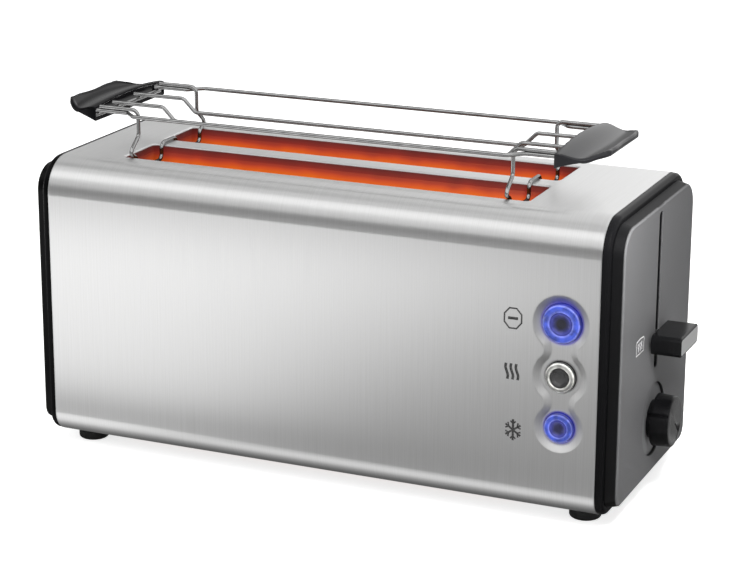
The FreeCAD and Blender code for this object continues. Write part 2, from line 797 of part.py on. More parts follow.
def chassis_plate(name, x, left):
    """A steel plate across the sleeve that holds guards and heaters, slotted for the bread lifts.
    The left one lets the crumb tray through, and the right one has a shelf bent out over the guide rod."""
    body = piece(name)
    box(body, "plate", (x, f"{x} + plate_sheet"), ("-plate_width / 2", "plate_width / 2"),
        (BASE_TOP, PLATE_TOP))
    for y in ("-slot_offset", "slot_offset"):
        box_cut(body, f"lift_slot_{y[0]}", (x, f"{x} + plate_sheet"),
                (f"{y} - lift_slot_width / 2", f"{y} + lift_slot_width / 2"),
                ("lift_floor - lift_slot_gap", "lift_floor + lift_tall + lever_travel + lift_slot_gap"))
    if left:
        wide = "(tray_width / 2 + 2 * tray_gap)"
        box_cut(body, "tray_gate", (x, f"{x} + plate_sheet"), (f"-{wide}", wide),
                (BASE_TOP, f"{PULL_LOW} + pull_tall + 2 * tray_gap"))
    else:
        box(body, "rod_shelf", (x, f"{x} + plate_sheet + shelf_reach"), ("-shelf_width / 2", "shelf_width / 2"),
            (SHELF_LOW, f"{SHELF_LOW} + plate_sheet"))


def box_cut(body, name, x, y, z):
    made = sketch(body, name, "side", x[0])
    rectangle(made, f"(({y[0]}) + ({y[1]})) / 2", f"(({z[0]}) + ({z[1]})) / 2",
              f"({y[1]}) - ({y[0]})", f"({z[1]}) - ({z[0]})")
    return pocket(made, f"2 * (({x[1]}) - ({x[0]}))", 1)


def reflector(name, side):
    """A bright sheet outside the heaters, with its long edges bent inwards."""
    body = piece(name)
    made = sketch(body, "channel", "side", "plate_left")
    out, mid, lip = "plate_width / 2 + reflector_sheet", "plate_width / 2", "plate_width / 2 + 2 * reflector_lip"
    low, high = "reflector_low", "reflector_high"
    corners = [(mid, low), (lip, low), (lip, f"{low} + reflector_sheet"), (out, f"{low} + reflector_sheet"),
               (out, f"{high} - reflector_sheet"), (lip, f"{high} - reflector_sheet"), (lip, high), (mid, high)]
    outline(made, [(f"{side} * ({y})", z) for y, z in corners])
    pad(made, "plate_right + plate_sheet - plate_left")


def heater_board(name, y):
    body = piece(name)
    box(body, "board", ("plate_left + plate_sheet", "plate_right"),
        (f"{y} - mica_thick / 2", f"{y} + mica_thick / 2"), ("board_low", "board_high"))


def heater_ribbon(name, y, sides):
    """Flat heating ribbon laid back and forth over a board."""
    body = piece(name)
    left, right = "(plate_left + ribbon_margin)", "(plate_right - ribbon_margin)"
    low = "(board_low + ribbon_wide)"
    for side in sides:
        near = f"({y} + {side} * mica_thick / 2)"
        far = f"({y} + {side} * (mica_thick / 2 + ribbon_thick))"
        deep = (near, far) if side > 0 else (far, near)
        tag = "front" if side < 0 else "back"
        band = box(body, f"{tag}_band", (left, right), deep, (low, f"{low} + ribbon_wide"))
        row_of([band], "Z", "ribbon_pitch", "ribbon_rows")
        turn = box(body, f"{tag}_right_turn", (f"{right} - ribbon_wide", right), deep,
                   (low, f"{low} + ribbon_pitch + ribbon_wide"))
        row_of([turn], "Z", "2 * ribbon_pitch", "floor(ribbon_rows / 2)")
        turn = box(body, f"{tag}_left_turn", (left, f"{left} + ribbon_wide"), deep,
                   (f"{low} + ribbon_pitch", f"{low} + 2 * ribbon_pitch + ribbon_wide"))
        row_of([turn], "Z", "2 * ribbon_pitch", "floor((ribbon_rows - 1) / 2)")


def guard(name, y):
    """A welded grid of upright wires that keeps the bread off the heater."""
    body = piece(name)
    rails = sketch(body, "rails", "side", "plate_left + plate_sheet")
    for z in ("guard_low + 2 * guard_wire", "guard_high - 2 * guard_wire"):
        circle(rails, y, z, "guard_wire")
    pad(rails, "plate_right - plate_left - plate_sheet")
    upright = sketch(body, "upright", "top", "guard_low")
    circle(upright, "slot_centre - (guard_count - 1) * guard_pitch / 2", y, "guard_wire")
    row_of([pad(upright, "guard_high - guard_low")], "X", "guard_pitch", "guard_count")


def slot_throat(name, y):
    """A thin liner under a slot's collar, lit from below by the heaters."""
    body = piece(name)
    outer = sketch(body, "liner", "top", COLLAR_END)
    rectangle(outer, "slot_centre", y, "slot_length + 2 * throat_sheet", "slot_width + 2 * throat_sheet",
              "slot_corner + throat_sheet")
    pad(outer, "throat_depth", -1)
    inner = sketch(body, "clear", "top", COLLAR_END)
    rectangle(inner, "slot_centre", y, "slot_length", "slot_width", "slot_corner")
    pocket(inner, "2 * throat_depth")


def guide_rod():
    body = piece("guide_rod")
    made = sketch(body, "rod", "top", f"{BASE_TOP} + rod_foot_tall")
    circle(made, "rod_x", "0", "rod_across")
    pad(made, f"{SHELF_LOW} - ({BASE_TOP} + rod_foot_tall)")


def carriage():
    """The hub on the guide rod, its cross plate for the lifts and the arm that carries the lever knob."""
    body = piece("carriage")
    hub = sketch(body, "hub", "top", HUB_LOW)
    circle(hub, "rod_x", "0", "hub_across")
    pad(hub, f"{HUB_TOP} - {HUB_LOW}")
    web = sketch(body, "web", "side", WEB_X)
    wide, cross, low = "web_wide / 2", "cross_wide / 2", "lift_floor - ear_thick"
    high, step = HUB_TOP, "lift_floor - ear_thick + cross_tall"
    outline(web, [(f"-({cross})", low), (cross, low), (cross, step), (wide, step), (wide, high),
                  (f"-({wide})", high), (f"-({wide})", step), (f"-({cross})", step)])
    pad(web, "web_thick")
    box(body, "neck", (WEB_X, "rod_x"), ("-hub_across / 4", "hub_across / 4"), (HUB_LOW, HUB_TOP))
    box(body, "arm", ("rod_x", f"{PANEL_FACE} + lever_gap + arm_bite"), ("-arm_thick / 2", "arm_thick / 2"),
        (f"{LEVER_Z} - arm_tall / 2", f"{LEVER_Z} + arm_tall / 2"))
    box(body, "spring_ear", ("rod_x - spring_across / 2", "rod_x + spring_across / 2"),
        ("0", "spring_y + spring_across / 2"), (HUB_LOW, f"{HUB_LOW} + ear_thick"))
    box(body, "armature_ear", ("rod_x", "pcb_x - magnet_gap"), ("-armature_wide / 4", "armature_wide / 4"),
        (HUB_LOW, f"{HUB_LOW} + ear_thick"))
    bore = sketch(body, "bore", "top", f"{HUB_TOP} + ear_thick")
    circle(bore, "rod_x", "0", "rod_across + 2 * rod_gap")
    pocket(bore, f"2 * ({HUB_TOP} - {HUB_LOW})")


def inlay_outline(made):
    """The lever's end face, drawn in by its rounded edge and a narrow rim."""
    inset = "(lever_edge + inlay_margin)"
    rectangle(made, "0", LEVER_Z, f"lever_width - 2 * {inset}", f"lever_thick - 2 * {inset}",
              f"lever_corner - {inset}")


def lever_knob():
    body = piece("lever_knob")
    made = sketch(body, "grip", "side", f"{PANEL_FACE} + lever_gap")
    rectangle(made, "0", LEVER_Z, "lever_width", "lever_thick", "lever_corner")
    pad(made, "lever_reach")
    end = number(LEVER_END)
    fillet(body, "end", lambda e: at_x(e, end), "lever_edge")
    seat = sketch(body, "inlay_seat", "side", LEVER_END)
    inlay_outline(seat)
    pocket(seat, "inlay_thick")
    bite = sketch(body, "arm_socket", "side", f"{PANEL_FACE} + lever_gap")
    rectangle(bite, "0", LEVER_Z, "arm_thick", "arm_tall")
    pocket(bite, "arm_bite", 1)


def lever_inlay():
    body = piece("lever_inlay")
    made = sketch(body, "plate", "side", f"{LEVER_END} - inlay_thick")
    inlay_outline(made)
    pad(made, "inlay_thick")


def bread_lift(name, y):
    """The bar that carries a row of bread, with cross fins, held by the carriage."""
    body = piece(name)
    box(body, "bar", ("plate_left - lift_end", WEB_X), (f"{y} - lift_thick / 2", f"{y} + lift_thick / 2"),
        ("lift_floor", "lift_floor + lift_tall"))
    first = "slot_centre - (fin_count - 1) * fin_pitch / 2"
    fin = box(body, "fin", (f"{first} - fin_long / 2", f"{first} + fin_long / 2"),
              (f"{y} - fin_wide / 2", f"{y} + fin_wide / 2"),
              ("lift_floor + lift_tall - fin_thick", "lift_floor + lift_tall"))
    row_of([fin], "X", "fin_pitch", "fin_count")


def latch_armature():
    body = piece("latch_armature")
    box(body, "plate", ("pcb_x - magnet_gap - armature_long", "pcb_x - magnet_gap"),
        ("-armature_wide / 2", "armature_wide / 2"), (ARMATURE_LOW, f"{ARMATURE_LOW} + armature_thick"))


def return_spring():
    body = piece("return_spring")
    made = sketch(body, "coil", "top", f"{HUB_LOW} + ear_thick")
    circle(made, "rod_x", "spring_y", "spring_across")
    circle(made, "rod_x", "spring_y", "spring_across - 2 * spring_wire")
    pad(made, f"{SHELF_LOW} - ({HUB_LOW} + ear_thick)")


def electromagnet():
    """A three-legged core on the main board, its coil round the middle leg."""
    body = piece("electromagnet")
    top = f"({ARMATURE_LOW} - magnet_gap)"
    low = f"({top} - magnet_tall)"
    box(body, "core", ("pcb_x - armature_long", "pcb_x"), ("-armature_wide / 2", "armature_wide / 2"), (low, top))
    for side in (-1, 1):
        window = sketch(body, f"window_{side + 2}", "side", "pcb_x - armature_long")
        rectangle(window, f"{side} * (armature_wide / 4)", f"{top} - coil_tall / 2",
                  "armature_wide / 2 - magnet_pole", "coil_tall")
        pocket(window, "2 * armature_long", 1)
    box(body, "coil", ("pcb_x - armature_long", "pcb_x"), ("-armature_wide / 4", "armature_wide / 4"),
        (f"{top} - coil_tall", f"{top} - 2 * armature_thick"))


def main_board():
    body = piece("main_board")
    box(body, "board", ("pcb_x", "pcb_x + board_thick"), ("-pcb_wide / 2", "pcb_wide / 2"),
        ("foot_height + pcb_low", "foot_height + pcb_high"))
    relay = sketch(body, "relay", "side", "pcb_x")
    rectangle(relay, "pcb_wide / 4 + pot_side / 4", "foot_height + pcb_low + pot_side", "pot_side", "pot_side")
    pad(relay, "1.5 * pot_deep", -1)
    hole = sketch(body, "shaft_hole", "side", "pcb_x")
    circle(hole, "0", KNOB_Z, "shaft_across + 2 * shaft_gap")
    pocket(hole, "2 * board_thick", 1)


def browning_potentiometer():
    body = piece("browning_potentiometer")
    made = sketch(body, "case", "side", "pcb_x + board_thick")
    rectangle(made, "0", KNOB_Z, "pot_side", "pot_side", "pot_side / 8")
    pad(made, "pot_deep")
    bore = sketch(body, "bore", "side", "pcb_x + board_thick")
    circle(bore, "0", KNOB_Z, "shaft_across + 2 * rod_gap")
    pocket(bore, "2 * pot_deep", 1)


def knob_shaft():
    body = piece("knob_shaft")
    made = sketch(body, "shaft", "side", "pcb_x + board_thick")
    circle(made, "0", KNOB_Z, "shaft_across")
    pad(made, f"{PANEL_FACE} + knob_reach / 2 - pcb_x - board_thick")


def browning_knob():
    """A drafted round knob, fluted once along its side, with a pointer line cut in its face."""
    body = piece("browning_knob")
    back = f"({PANEL_FACE} - dish_depth + knob_gap)"
    side, face = sketch(body, "side", "top", KNOB_Z), f"{PANEL_FACE} + knob_reach"
    outline(side, [(back, "0"), (face, "0"), (face, "knob_face_across / 2", "knob_edge"),
                   (back, "knob_base_across / 2")])
    revolve(side, "H_Axis")
    bore = sketch(body, "shaft_bore", "side", back)
    circle(bore, "0", KNOB_Z, "shaft_across")
    pocket(bore, f"{PANEL_FACE} + knob_reach / 2 - {back}", 1)
    groove = sketch(body, "flute", "side", back)
    out = "(knob_base_across / 2 + groove_sink)"
    circle(groove, f"-{out} * cos(groove_angle)", f"{KNOB_Z} + {out} * sin(groove_angle)", "groove_across")
    pocket(groove, "2 * knob_reach", 1)
    pointer = sketch(body, "pointer", "side", face)
    near, far, half = "pointer_start", "(pointer_start + pointer_length)", "(pointer_width / 2)"
    outline(pointer, [(f"{along} * cos(pointer_angle) + {side} * {half} * sin(pointer_angle)",
                       f"{KNOB_Z} - {along} * sin(pointer_angle) + {side} * {half} * cos(pointer_angle)")
                      for along, side in ((near, -1), (far, -1), (far, 1), (near, 1))])
    pocket(pointer, "pointer_depth")


def button_cap(name):
    """The pressed middle of a push button, with its flange behind the sheet and its stem."""
    body = piece(f"{name}_button_cap")
    made = sketch(body, "side", "top", f"foot_height + {name}_height", x="button_x")
    cap, front = f"{name}_cap_across / 2", f"(-{HALF_DEPTH} - button_proud)"
    hole, stem = f"({name}_ring_across / 2 + button_gap + button_flange)", "stem_across / 2"
    hidden = f"({FLANGE_FRONT} + button_flange_thick)"
    end = f"({BOARD_FRONT} - switch_tall - button_travel - button_gap)"
    outline(made, [("0", end), ("0", f"{front} + cap_dish"), (f"{cap} - 2 * button_edge", f"{front} + cap_dish"),
                   (f"{cap} - button_edge / 2", front), (cap, front), (cap, FLANGE_FRONT), (hole, FLANGE_FRONT),
                   (hole, hidden), (stem, hidden), (stem, end)])
    revolve(made)


def light_ring(name):
    """The clear ring round a button's cap that lights up."""
    body = piece(f"{name}_light_ring")
    made = sketch(body, "side", "top", f"foot_height + {name}_height", x="button_x")
    cap, ring, front = f"{name}_cap_across / 2", f"{name}_ring_across / 2", f"(-{HALF_DEPTH} - button_proud)"
    outline(made, [(cap, front, "ring_inner_round"), (ring, front, "ring_outer_round"), (ring, FLANGE_FRONT), (cap, FLANGE_FRONT)])
    revolve(made)


def button_carrier():
    """The moulding behind the recess that guides the stems and carries the button board."""
    body = piece("button_carrier")
    low, high = "foot_height + defrost_height - carrier_margin", "foot_height + stop_height + carrier_margin"
    plate = sketch(body, "plate", "front", CARRIER_FRONT)
    rectangle(plate, "button_x", f"({low} + {high}) / 2", "carrier_width", f"{high} - ({low})")
    pad(plate, "carrier_thick", 1)
    posts = sketch(body, "posts", "front", f"-{HALF_DEPTH} + sheet")
    inset = "post_across / 2"
    for x in (f"button_x - carrier_width / 2 + {inset}", f"button_x + carrier_width / 2 - {inset}"):
        for z in (f"{low} + {inset}", f"{high} - {inset}"):
            circle(posts, x, z, "post_across")
    pad(posts, f"{BOARD_FRONT} - (-{HALF_DEPTH} + sheet)", 1)
    guides = sketch(body, "guides", "front", CARRIER_FRONT)
    for name in BUTTONS:
        circle(guides, "button_x", f"foot_height + {name}_height", "stem_across + 2 * stem_gap")
    pocket(guides, "2 * carrier_thick", 1)


def button_board():
    body = piece("button_board")
    low, high = "foot_height + defrost_height - carrier_margin", "foot_height + stop_height + carrier_margin"
    plate = sketch(body, "plate", "front", BOARD_FRONT)
    rectangle(plate, "button_x", f"({low} + {high}) / 2", "carrier_width", f"{high} - ({low})")
    pad(plate, "board_thick", 1)
    switches = sketch(body, "switches", "front", BOARD_FRONT)
    for name in BUTTONS:
        rectangle(switches, "button_x", f"foot_height + {name}_height", "switch_wide", "switch_wide")
    pad(switches, "switch_tall", -1)


def crumb_tray():
    body = piece("crumb_tray")
    left = f"(-{PANEL_FACE} + pull_thick)"
    made = sketch(body, "channel", "side", left)
    y, inner, floor = "tray_width / 2", "tray_width / 2 - tray_sheet", TRAY_FLOOR
    outline(made, [(f"-({y})", floor), (y, floor), (y, f"{floor} + tray_wall"), (inner, f"{floor} + tray_wall"),
                   (inner, f"{floor} + tray_sheet"), (f"-({inner})", f"{floor} + tray_sheet"),
                   (f"-({inner})", f"{floor} + tray_wall"), (f"-({y})", f"{floor} + tray_wall")])
    pad(made, f"tray_end - {left}")
    for tag, x in (("left", left), ("right", "tray_end - tray_sheet")):
        box(body, f"{tag}_wall", (x, f"{x} + tray_sheet"), (f"-({y})", y), (floor, f"{floor} + tray_wall"))


def tray_pull():
    body = piece("tray_pull")
    wide = "(tray_width / 2 + pull_margin)"
    box(body, "block", (f"-{PANEL_FACE}", f"-{PANEL_FACE} + pull_thick"), (f"-{wide}", wide),
        (PULL_LOW, f"{PULL_LOW} + pull_tall"))
    grip = sketch(body, "grip", "side", f"-{PANEL_FACE}")
    rectangle(grip, "0", f"{PULL_LOW} + pull_tall / 2", "grip_wide", "grip_tall", "grip_tall * 0.4")
    pocket(grip, "grip_deep", 1)


def cord_gland():
    body = piece("cord_gland")
    made = sketch(body, "side", "front", "gland_y", x="gland_x")
    low, r, bore = f"({BASE_LOW} - gland_drop)", "gland_across / 2", "gland_bore / 2"
    collar = "gland_across / 2 + gland_collar"
    outline(made, [(bore, low), (r, low), (r, BASE_TOP), (collar, BASE_TOP),
                   (collar, f"{BASE_TOP} + gland_collar_thick"), (r, f"{BASE_TOP} + gland_collar_thick"),
                   (r, f"{low} + gland_tall"), (bore, f"{low} + gland_tall")])
    revolve(made)


def bent_wire(name, routes):
    """Round wire along each route of corners, with an arc of the bend radius at every corner."""
    rods = []
    radius, bend = number("wire / 2"), number("bend")
    for route in routes:
        points = [FreeCAD.Vector(*(number(c) for c in corner)) for corner in route]
        runs, start = [], points[0]
        for before, corner, after in zip(points, points[1:], points[2:]):
            back, ahead = (before - corner).normalize(), (after - corner).normalize()
            half = back.getAngle(ahead) / 2
            room = 0.48 * min((before - corner).Length, (after - corner).Length)
            reach = min(bend / math.tan(half), room)
            curve = reach * math.tan(half)
            enter, leave = corner + back * reach, corner + ahead * reach
            middle = corner + (back + ahead).normalize() * (curve / math.sin(half) - curve)
            runs.append(Part.LineSegment(start, enter).toShape())
            runs.append(Part.Arc(enter, middle, leave).toShape())
            start = leave
        runs.append(Part.LineSegment(start, points[-1]).toShape())
        path = Part.Wire(runs)
        section = Part.Wire(Part.Circle(points[0], points[1] - points[0], radius).toShape())
        rods.append(path.makePipeShell([section], True, False))
    part = doc.addObject("Part::Feature", name)
    part.Label = name
    part.Shape = rods[0] if len(rods) == 1 else Part.Compound(rods)
    settle(part)


def rack_wires():
    z = RAIL_Z
    for name, s in (("rack_front_rail", -1), ("rack_back_rail", 1)):
        near, far = f"{s} * leg_y", f"{s} * rail_y_middle"
        turn = "(jog_x + rail_y_middle - leg_y)"
        bent_wire(name, [[("rack_x - rail_end", near, z), (f"rack_x - {turn}", near, z), ("rack_x - jog_x", far, z),
                          ("rack_x + jog_x", far, z), (f"rack_x + {turn}", near, z), ("rack_x + rail_end", near, z)]])
    for name, s in (("rack_inner_front_wire", -1), ("rack_inner_back_wire", 1)):
        y, dip = f"{s} * inner_y", f"{z} - inner_dip"
        bent_wire(name, [[("rack_x - rail_end", y, z), ("rack_x - dip_x - inner_dip", y, z), ("rack_x - dip_x", y, dip),
                          ("rack_x + dip_x", y, dip), ("rack_x + dip_x + inner_dip", y, z), ("rack_x + rail_end", y, z)]])
    for name, s in (("rack_left_leg_wire", -1), ("rack_right_leg_wire", 1)):
        x, over = f"rack_x + {s} * leg_x", f"{z} + wire"
        half = [(f"rack_x + {s} * leg_run_end", "leg_y", over), (x, "leg_y", over),
                (x, "leg_y", f"{TOP} + flare_top"), (x, "flare_y", f"{TOP} + flare_low"),
                (x, "hip_y", f"{TOP} + hip"), (x, "hook_y", f"{TOP} + hook_top"),
                (x, "hook_y", f"{TOP} - hook_depth"), (x, "saddle_y", f"{TOP} - hook_depth"),
                (x, "saddle_y", f"{TOP} + wire / 2 + saddle_gap")]
        bent_wire(name, [[(px, f"-({py})", pz) for px, py, pz in half] + half[::-1]])
    low = f"{z} - wire"
    bent_wire("rack_cross_wires", [[(f"rack_x + {s} * cross_x", f"-(leg_y + wire)", low),
                                    (f"rack_x + {s} * cross_x", "leg_y + wire", low)] for s in (-1, 1)])


def handle_section(body, name, x, width, low, side, arch):
    """A handle's section: flat below, straight sides, an arched top."""
    made = sketch(body, name, "side", x)
    y, low, side, arch = number(f"({width}) / 2"), number(low), number(side), number(arch)
    corners = [FreeCAD.Vector(-y, side, 0), FreeCAD.Vector(-y, low, 0), FreeCAD.Vector(y, low, 0),
               FreeCAD.Vector(y, side, 0)]
    for start, end in zip(corners, corners[1:]):
        made.addGeometry(Part.LineSegment(start, end), False)
    made.addGeometry(Part.Arc(corners[3], FreeCAD.Vector(0, arch, 0), corners[0]), False)
    return made


def rack_handle(name, s):
    """A heat-proof grip: arched at its open mouth, dished like a saddle and turned up at its tip."""
    body = piece(name)
    z = RAIL_Z
    stations = [
        ("mouth", "0", "0", "handle_low", "handle_side", "handle_arch"),
        ("neck", "neck_deep", "neck_narrows", "neck_low", "neck_side", "neck_arch"),
        ("dip", "dip_deep", "dip_narrows", "dip_low", "dip_side", "dip_arch"),
        ("lip", "lip_deep", "lip_narrows", "lip_low", "lip_side", "lip_arch"),
        ("tip", "handle_deep", "tip_narrows", "tip_low", "tip_side", "tip_arch"),
    ]
    for kind, wall, count in (("Additive", "0", 5), ("Subtractive", "handle_wall", 2)):
        made = [handle_section(body, f"{kind[:3]}_{tag}", f"rack_x + {s} * (handle_in + {deep})",
                               f"handle_wide - 2 * ({narrows} + {wall})", f"{z} + {low} + {wall}",
                               f"{z} + {side} - {wall}", f"{z} + {arch} - {wall}")
                for tag, deep, narrows, low, side, arch in stations[:count]]
        loft(kind, made[0], *made[1:])
    near, far = f"rack_x + {s} * socket_start", f"rack_x + {s} * rail_end"
    for tag, y in (("front", "-leg_y"), ("back", "leg_y")):
        block = sketch(body, f"{tag}_socket", "side", near)
        rectangle(block, y, f"{z} + (handle_low + handle_wall + wire) / 2", "socket_wide",
                  f"wire - handle_low - handle_wall")
        pad(block, "rail_end - socket_start", s)
        hole = sketch(body, f"{tag}_wire_hole", "side", near)
        circle(hole, y, z, "wire")
        pocket(hole, "rail_end - socket_start", s)


def build():
    steel_sleeve()
    end_frame("right_end_frame", 1)
    control_panel()
    end_frame("left_end_frame", -1)
    left_end_cover()
    base_plate()
    for name, (x, y) in zip(("left_front", "left_back", "right_front", "right_back"), FOOT_PLACES):
        foot(f"{name}_foot", x, y)
    foot_screws()
    chassis_plate("chassis_plate_left", "plate_left", True)
    chassis_plate("chassis_plate_right", "plate_right", False)
    reflector("front_reflector", -1)
    reflector("back_reflector", 1)
    for name, y, sides in (("front", "-outer_board_y", (1,)), ("centre", "0", (-1, 1)),
                           ("back", "outer_board_y", (-1,))):
        heater_board(f"{name}_heater_board", y)
        heater_ribbon(f"{name}_heater_ribbon", y, sides)
    for name, y in (("front_outer", "-outer_guard_y"), ("front_inner", "-inner_guard_y"),
                    ("back_inner", "inner_guard_y"), ("back_outer", "outer_guard_y")):
        guard(f"{name}_guard", y)
    for name, y in (("front", "-slot_offset"), ("back", "slot_offset")):
        slot_throat(f"{name}_slot_throat", y)
        bread_lift(f"{name}_bread_lift", y)
    guide_rod()
    carriage()
    lever_knob()
    lever_inlay()
    latch_armature()
    return_spring()
    electromagnet()
    main_board()
    browning_potentiometer()
    knob_shaft()
    browning_knob()
    for name in BUTTONS:
        button_cap(name)
        light_ring(name)
    button_carrier()
    button_board()
    crumb_tray()
    tray_pull()
    cord_gland()
    rack_wires()
    rack_handle("rack_left_handle", -1)
    rack_handle("rack_right_handle", 1)


def write():
    doc.recompute()
    for item in doc.Objects:
        if {"Invalid", "Error"} & set(item.State):
            raise ValueError(f"{item.Label} did not build: {item.State}")
    for part in PARTS:
        if part.Shape.isNull() or not part.Shape.isValid():
            raise ValueError(f"{part.Label} is not a valid solid")
        part.Shape.exportStep(f"parts/{part.Label}.step")
    print(len(PARTS), "pieces written")


build()
write()
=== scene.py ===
"""Long slot toaster: the finish of every surface, the knob, grips and coil that stand for plainer
solids, the printed marks, and the studio round it."""
import json
import math

import bmesh
import bpy
from mathutils import Matrix, Vector


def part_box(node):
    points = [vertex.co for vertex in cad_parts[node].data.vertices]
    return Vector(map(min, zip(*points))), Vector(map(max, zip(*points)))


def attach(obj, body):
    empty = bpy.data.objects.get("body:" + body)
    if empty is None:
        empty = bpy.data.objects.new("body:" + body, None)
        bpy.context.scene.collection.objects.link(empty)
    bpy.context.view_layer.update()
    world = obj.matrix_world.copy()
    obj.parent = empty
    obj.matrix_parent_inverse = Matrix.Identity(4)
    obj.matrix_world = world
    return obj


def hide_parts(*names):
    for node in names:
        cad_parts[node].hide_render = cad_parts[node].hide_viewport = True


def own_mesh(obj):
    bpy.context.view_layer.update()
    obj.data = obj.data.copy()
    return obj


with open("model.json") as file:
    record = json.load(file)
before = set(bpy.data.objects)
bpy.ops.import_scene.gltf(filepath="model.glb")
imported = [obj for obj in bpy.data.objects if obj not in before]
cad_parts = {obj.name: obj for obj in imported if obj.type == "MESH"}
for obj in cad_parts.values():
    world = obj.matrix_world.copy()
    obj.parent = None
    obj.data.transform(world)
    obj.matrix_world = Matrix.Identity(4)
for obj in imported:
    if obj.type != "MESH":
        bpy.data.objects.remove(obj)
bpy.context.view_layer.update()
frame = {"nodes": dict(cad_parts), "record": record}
bpy.ops.object.select_all(action="DESELECT")

MM = 0.001
NODES = frame["nodes"]


def extent(node):
    """A node's lowest and highest corners as vectors, in metres."""
    low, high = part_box(node)
    return Vector(low), Vector(high)


# Where the pieces sit, read from the frame.
SLEEVE_LOW, SLEEVE_HIGH = extent("steel_sleeve")
MIDDLE_X = (SLEEVE_LOW.x + SLEEVE_HIGH.x) / 2
MIDDLE_Y = (SLEEVE_LOW.y + SLEEVE_HIGH.y) / 2
FRONT_Y = SLEEVE_LOW.y
TOP_Z = SLEEVE_HIGH.z
PANEL_X = extent("control_panel")[1].x
THROAT_LOW, THROAT_HIGH = extent("front_slot_throat")
SLOT_MIDDLE_X = (THROAT_LOW.x + THROAT_HIGH.x) / 2
SLOT_HALF = (THROAT_HIGH.x - THROAT_LOW.x) / 2
SLOT_OUTER, SLOT_INNER = MIDDLE_Y - THROAT_LOW.y, MIDDLE_Y - THROAT_HIGH.y


# Nodes that every finish is put together from.

def add_node(tree, kind, links=None, **settings):
    """A node of a tree, with its settings, input values and incoming links."""
    made = tree.nodes.new(kind)
    for name, value in settings.items():
        setattr(made, name, value)
    for name, source in (links or {}).items():
        socket = made.inputs[name]
        if isinstance(source, bpy.types.NodeSocket):
            tree.links.new(source, socket)
        else:
            socket.default_value = source
    return made


def maths(tree, operation, *values, clamp=False):
    made = add_node(tree, "ShaderNodeMath", dict(enumerate(values)), operation=operation,
                    use_clamp=clamp)
    return made.outputs[0]


def vector_maths(tree, operation, first, second):
    made = add_node(tree, "ShaderNodeVectorMath", {0: first, 1: second}, operation=operation)
    return made.outputs[0]


def scaled(tree, vector, share):
    """A vector made longer or shorter, or a colour made brighter or darker."""
    made = add_node(tree, "ShaderNodeVectorMath", {0: vector, "Scale": share}, operation="SCALE")
    return made.outputs[0]


def axes(tree, vector):
    """The X, Y and Z of a vector."""
    split = add_node(tree, "ShaderNodeSeparateXYZ", {"Vector": vector})
    return [split.outputs[axis] for axis in "XYZ"]


def object_place(tree):
    return add_node(tree, "ShaderNodeTexCoord").outputs["Object"]


def surface_normal(tree):
    return add_node(tree, "ShaderNodeNewGeometry").outputs["Normal"]


def noise(tree, place, scale, detail):
    made = add_node(tree, "ShaderNodeTexNoise", {"Vector": place, "Scale": scale, "Detail": detail})
    return made.outputs["Fac"]


def vary(tree, factor, low, high, start=0.3, end=0.7):
    """A value that follows a mask between two limits."""
    made = add_node(tree, "ShaderNodeMapRange", {"Value": factor, "From Min": start,
                                                 "From Max": end, "To Min": low, "To Max": high})
    return made.outputs["Result"]


def colour_ramp(tree, factor, stops):
    """A colour read off a ramp; each stop is a place and a grey level or a colour."""
    made = add_node(tree, "ShaderNodeValToRGB", {"Fac": factor})
    elements = made.color_ramp.elements
    while len(elements) > 1:
        elements.remove(elements[-1])
    for index, (place, colour) in enumerate(stops):
        stop = elements[0] if index == 0 else elements.new(place)
        stop.position = place
        levels = colour if isinstance(colour, tuple) else (colour, colour, colour)
        stop.color = (*levels, 1.0)
    return made.outputs["Color"]


def blend_colour(tree, factor, low, high):
    made = add_node(tree, "ShaderNodeMix", {"Factor": factor}, data_type="RGBA")
    for socket, colour in ((made.inputs[6], low), (made.inputs[7], high)):
        if isinstance(colour, bpy.types.NodeSocket):
            tree.links.new(colour, socket)
        else:
            socket.default_value = (*colour, 1.0)
    return made.outputs[2]


def blend_value(tree, factor, low, high):
    made = add_node(tree, "ShaderNodeMix", {0: factor, 2: low, 3: high})
    return made.outputs[0]


def seen(*levels):
    """The linear colour that shows as these screen levels from 0 to 255."""
    return tuple(((v / 255 + 0.055) / 1.055) ** 2.4 if v > 10 else v / 255 / 12.92
                 for v in levels)


# Node groups for effects that several finishes share.

class Group:
    """Builds one shader node group with named inputs and outputs."""

    def __init__(self, name):
        self.tree = bpy.data.node_groups.new(name, "ShaderNodeTree")
        self.inlet = self.tree.nodes.new("NodeGroupInput")
        self.outlet = self.tree.nodes.new("NodeGroupOutput")

    def input(self, name, kind, value=None):
        made = self.tree.interface.new_socket(name, in_out="INPUT", socket_type=kind)
        if value is not None:
            made.default_value = value

    def output(self, name, kind):
        self.tree.interface.new_socket(name, in_out="OUTPUT", socket_type=kind)

    def send(self, name, source):
        self.tree.links.new(source, self.outlet.inputs[name])


# How many noise cells there are to a metre along the sheet, across it and up it.
STREAK_DENSITY = (1500.0, 14.0, 14.0)
CLOUD_DENSITY = (160.0, 5.0, 5.0)


def brushed_grain():
    """Streaks that run round the wrapped sheet, across its length."""
    group = Group("brushed_grain")
    group.input("Fineness", "NodeSocketFloat", 1.0)
    group.output("Streak", "NodeSocketFloat")
    group.output("Cloud", "NodeSocketFloat")
    tree, place = group.tree, object_place(group.tree)
    fine = vector_maths(tree, "MULTIPLY", place, STREAK_DENSITY)
    fine = scaled(tree, fine, group.inlet.outputs["Fineness"])
    broad = vector_maths(tree, "MULTIPLY", place, CLOUD_DENSITY)
    group.send("Streak", noise(tree, fine, 1.0, 3.0))
    group.send("Cloud", noise(tree, broad, 1.0, 2.0))
    return tree


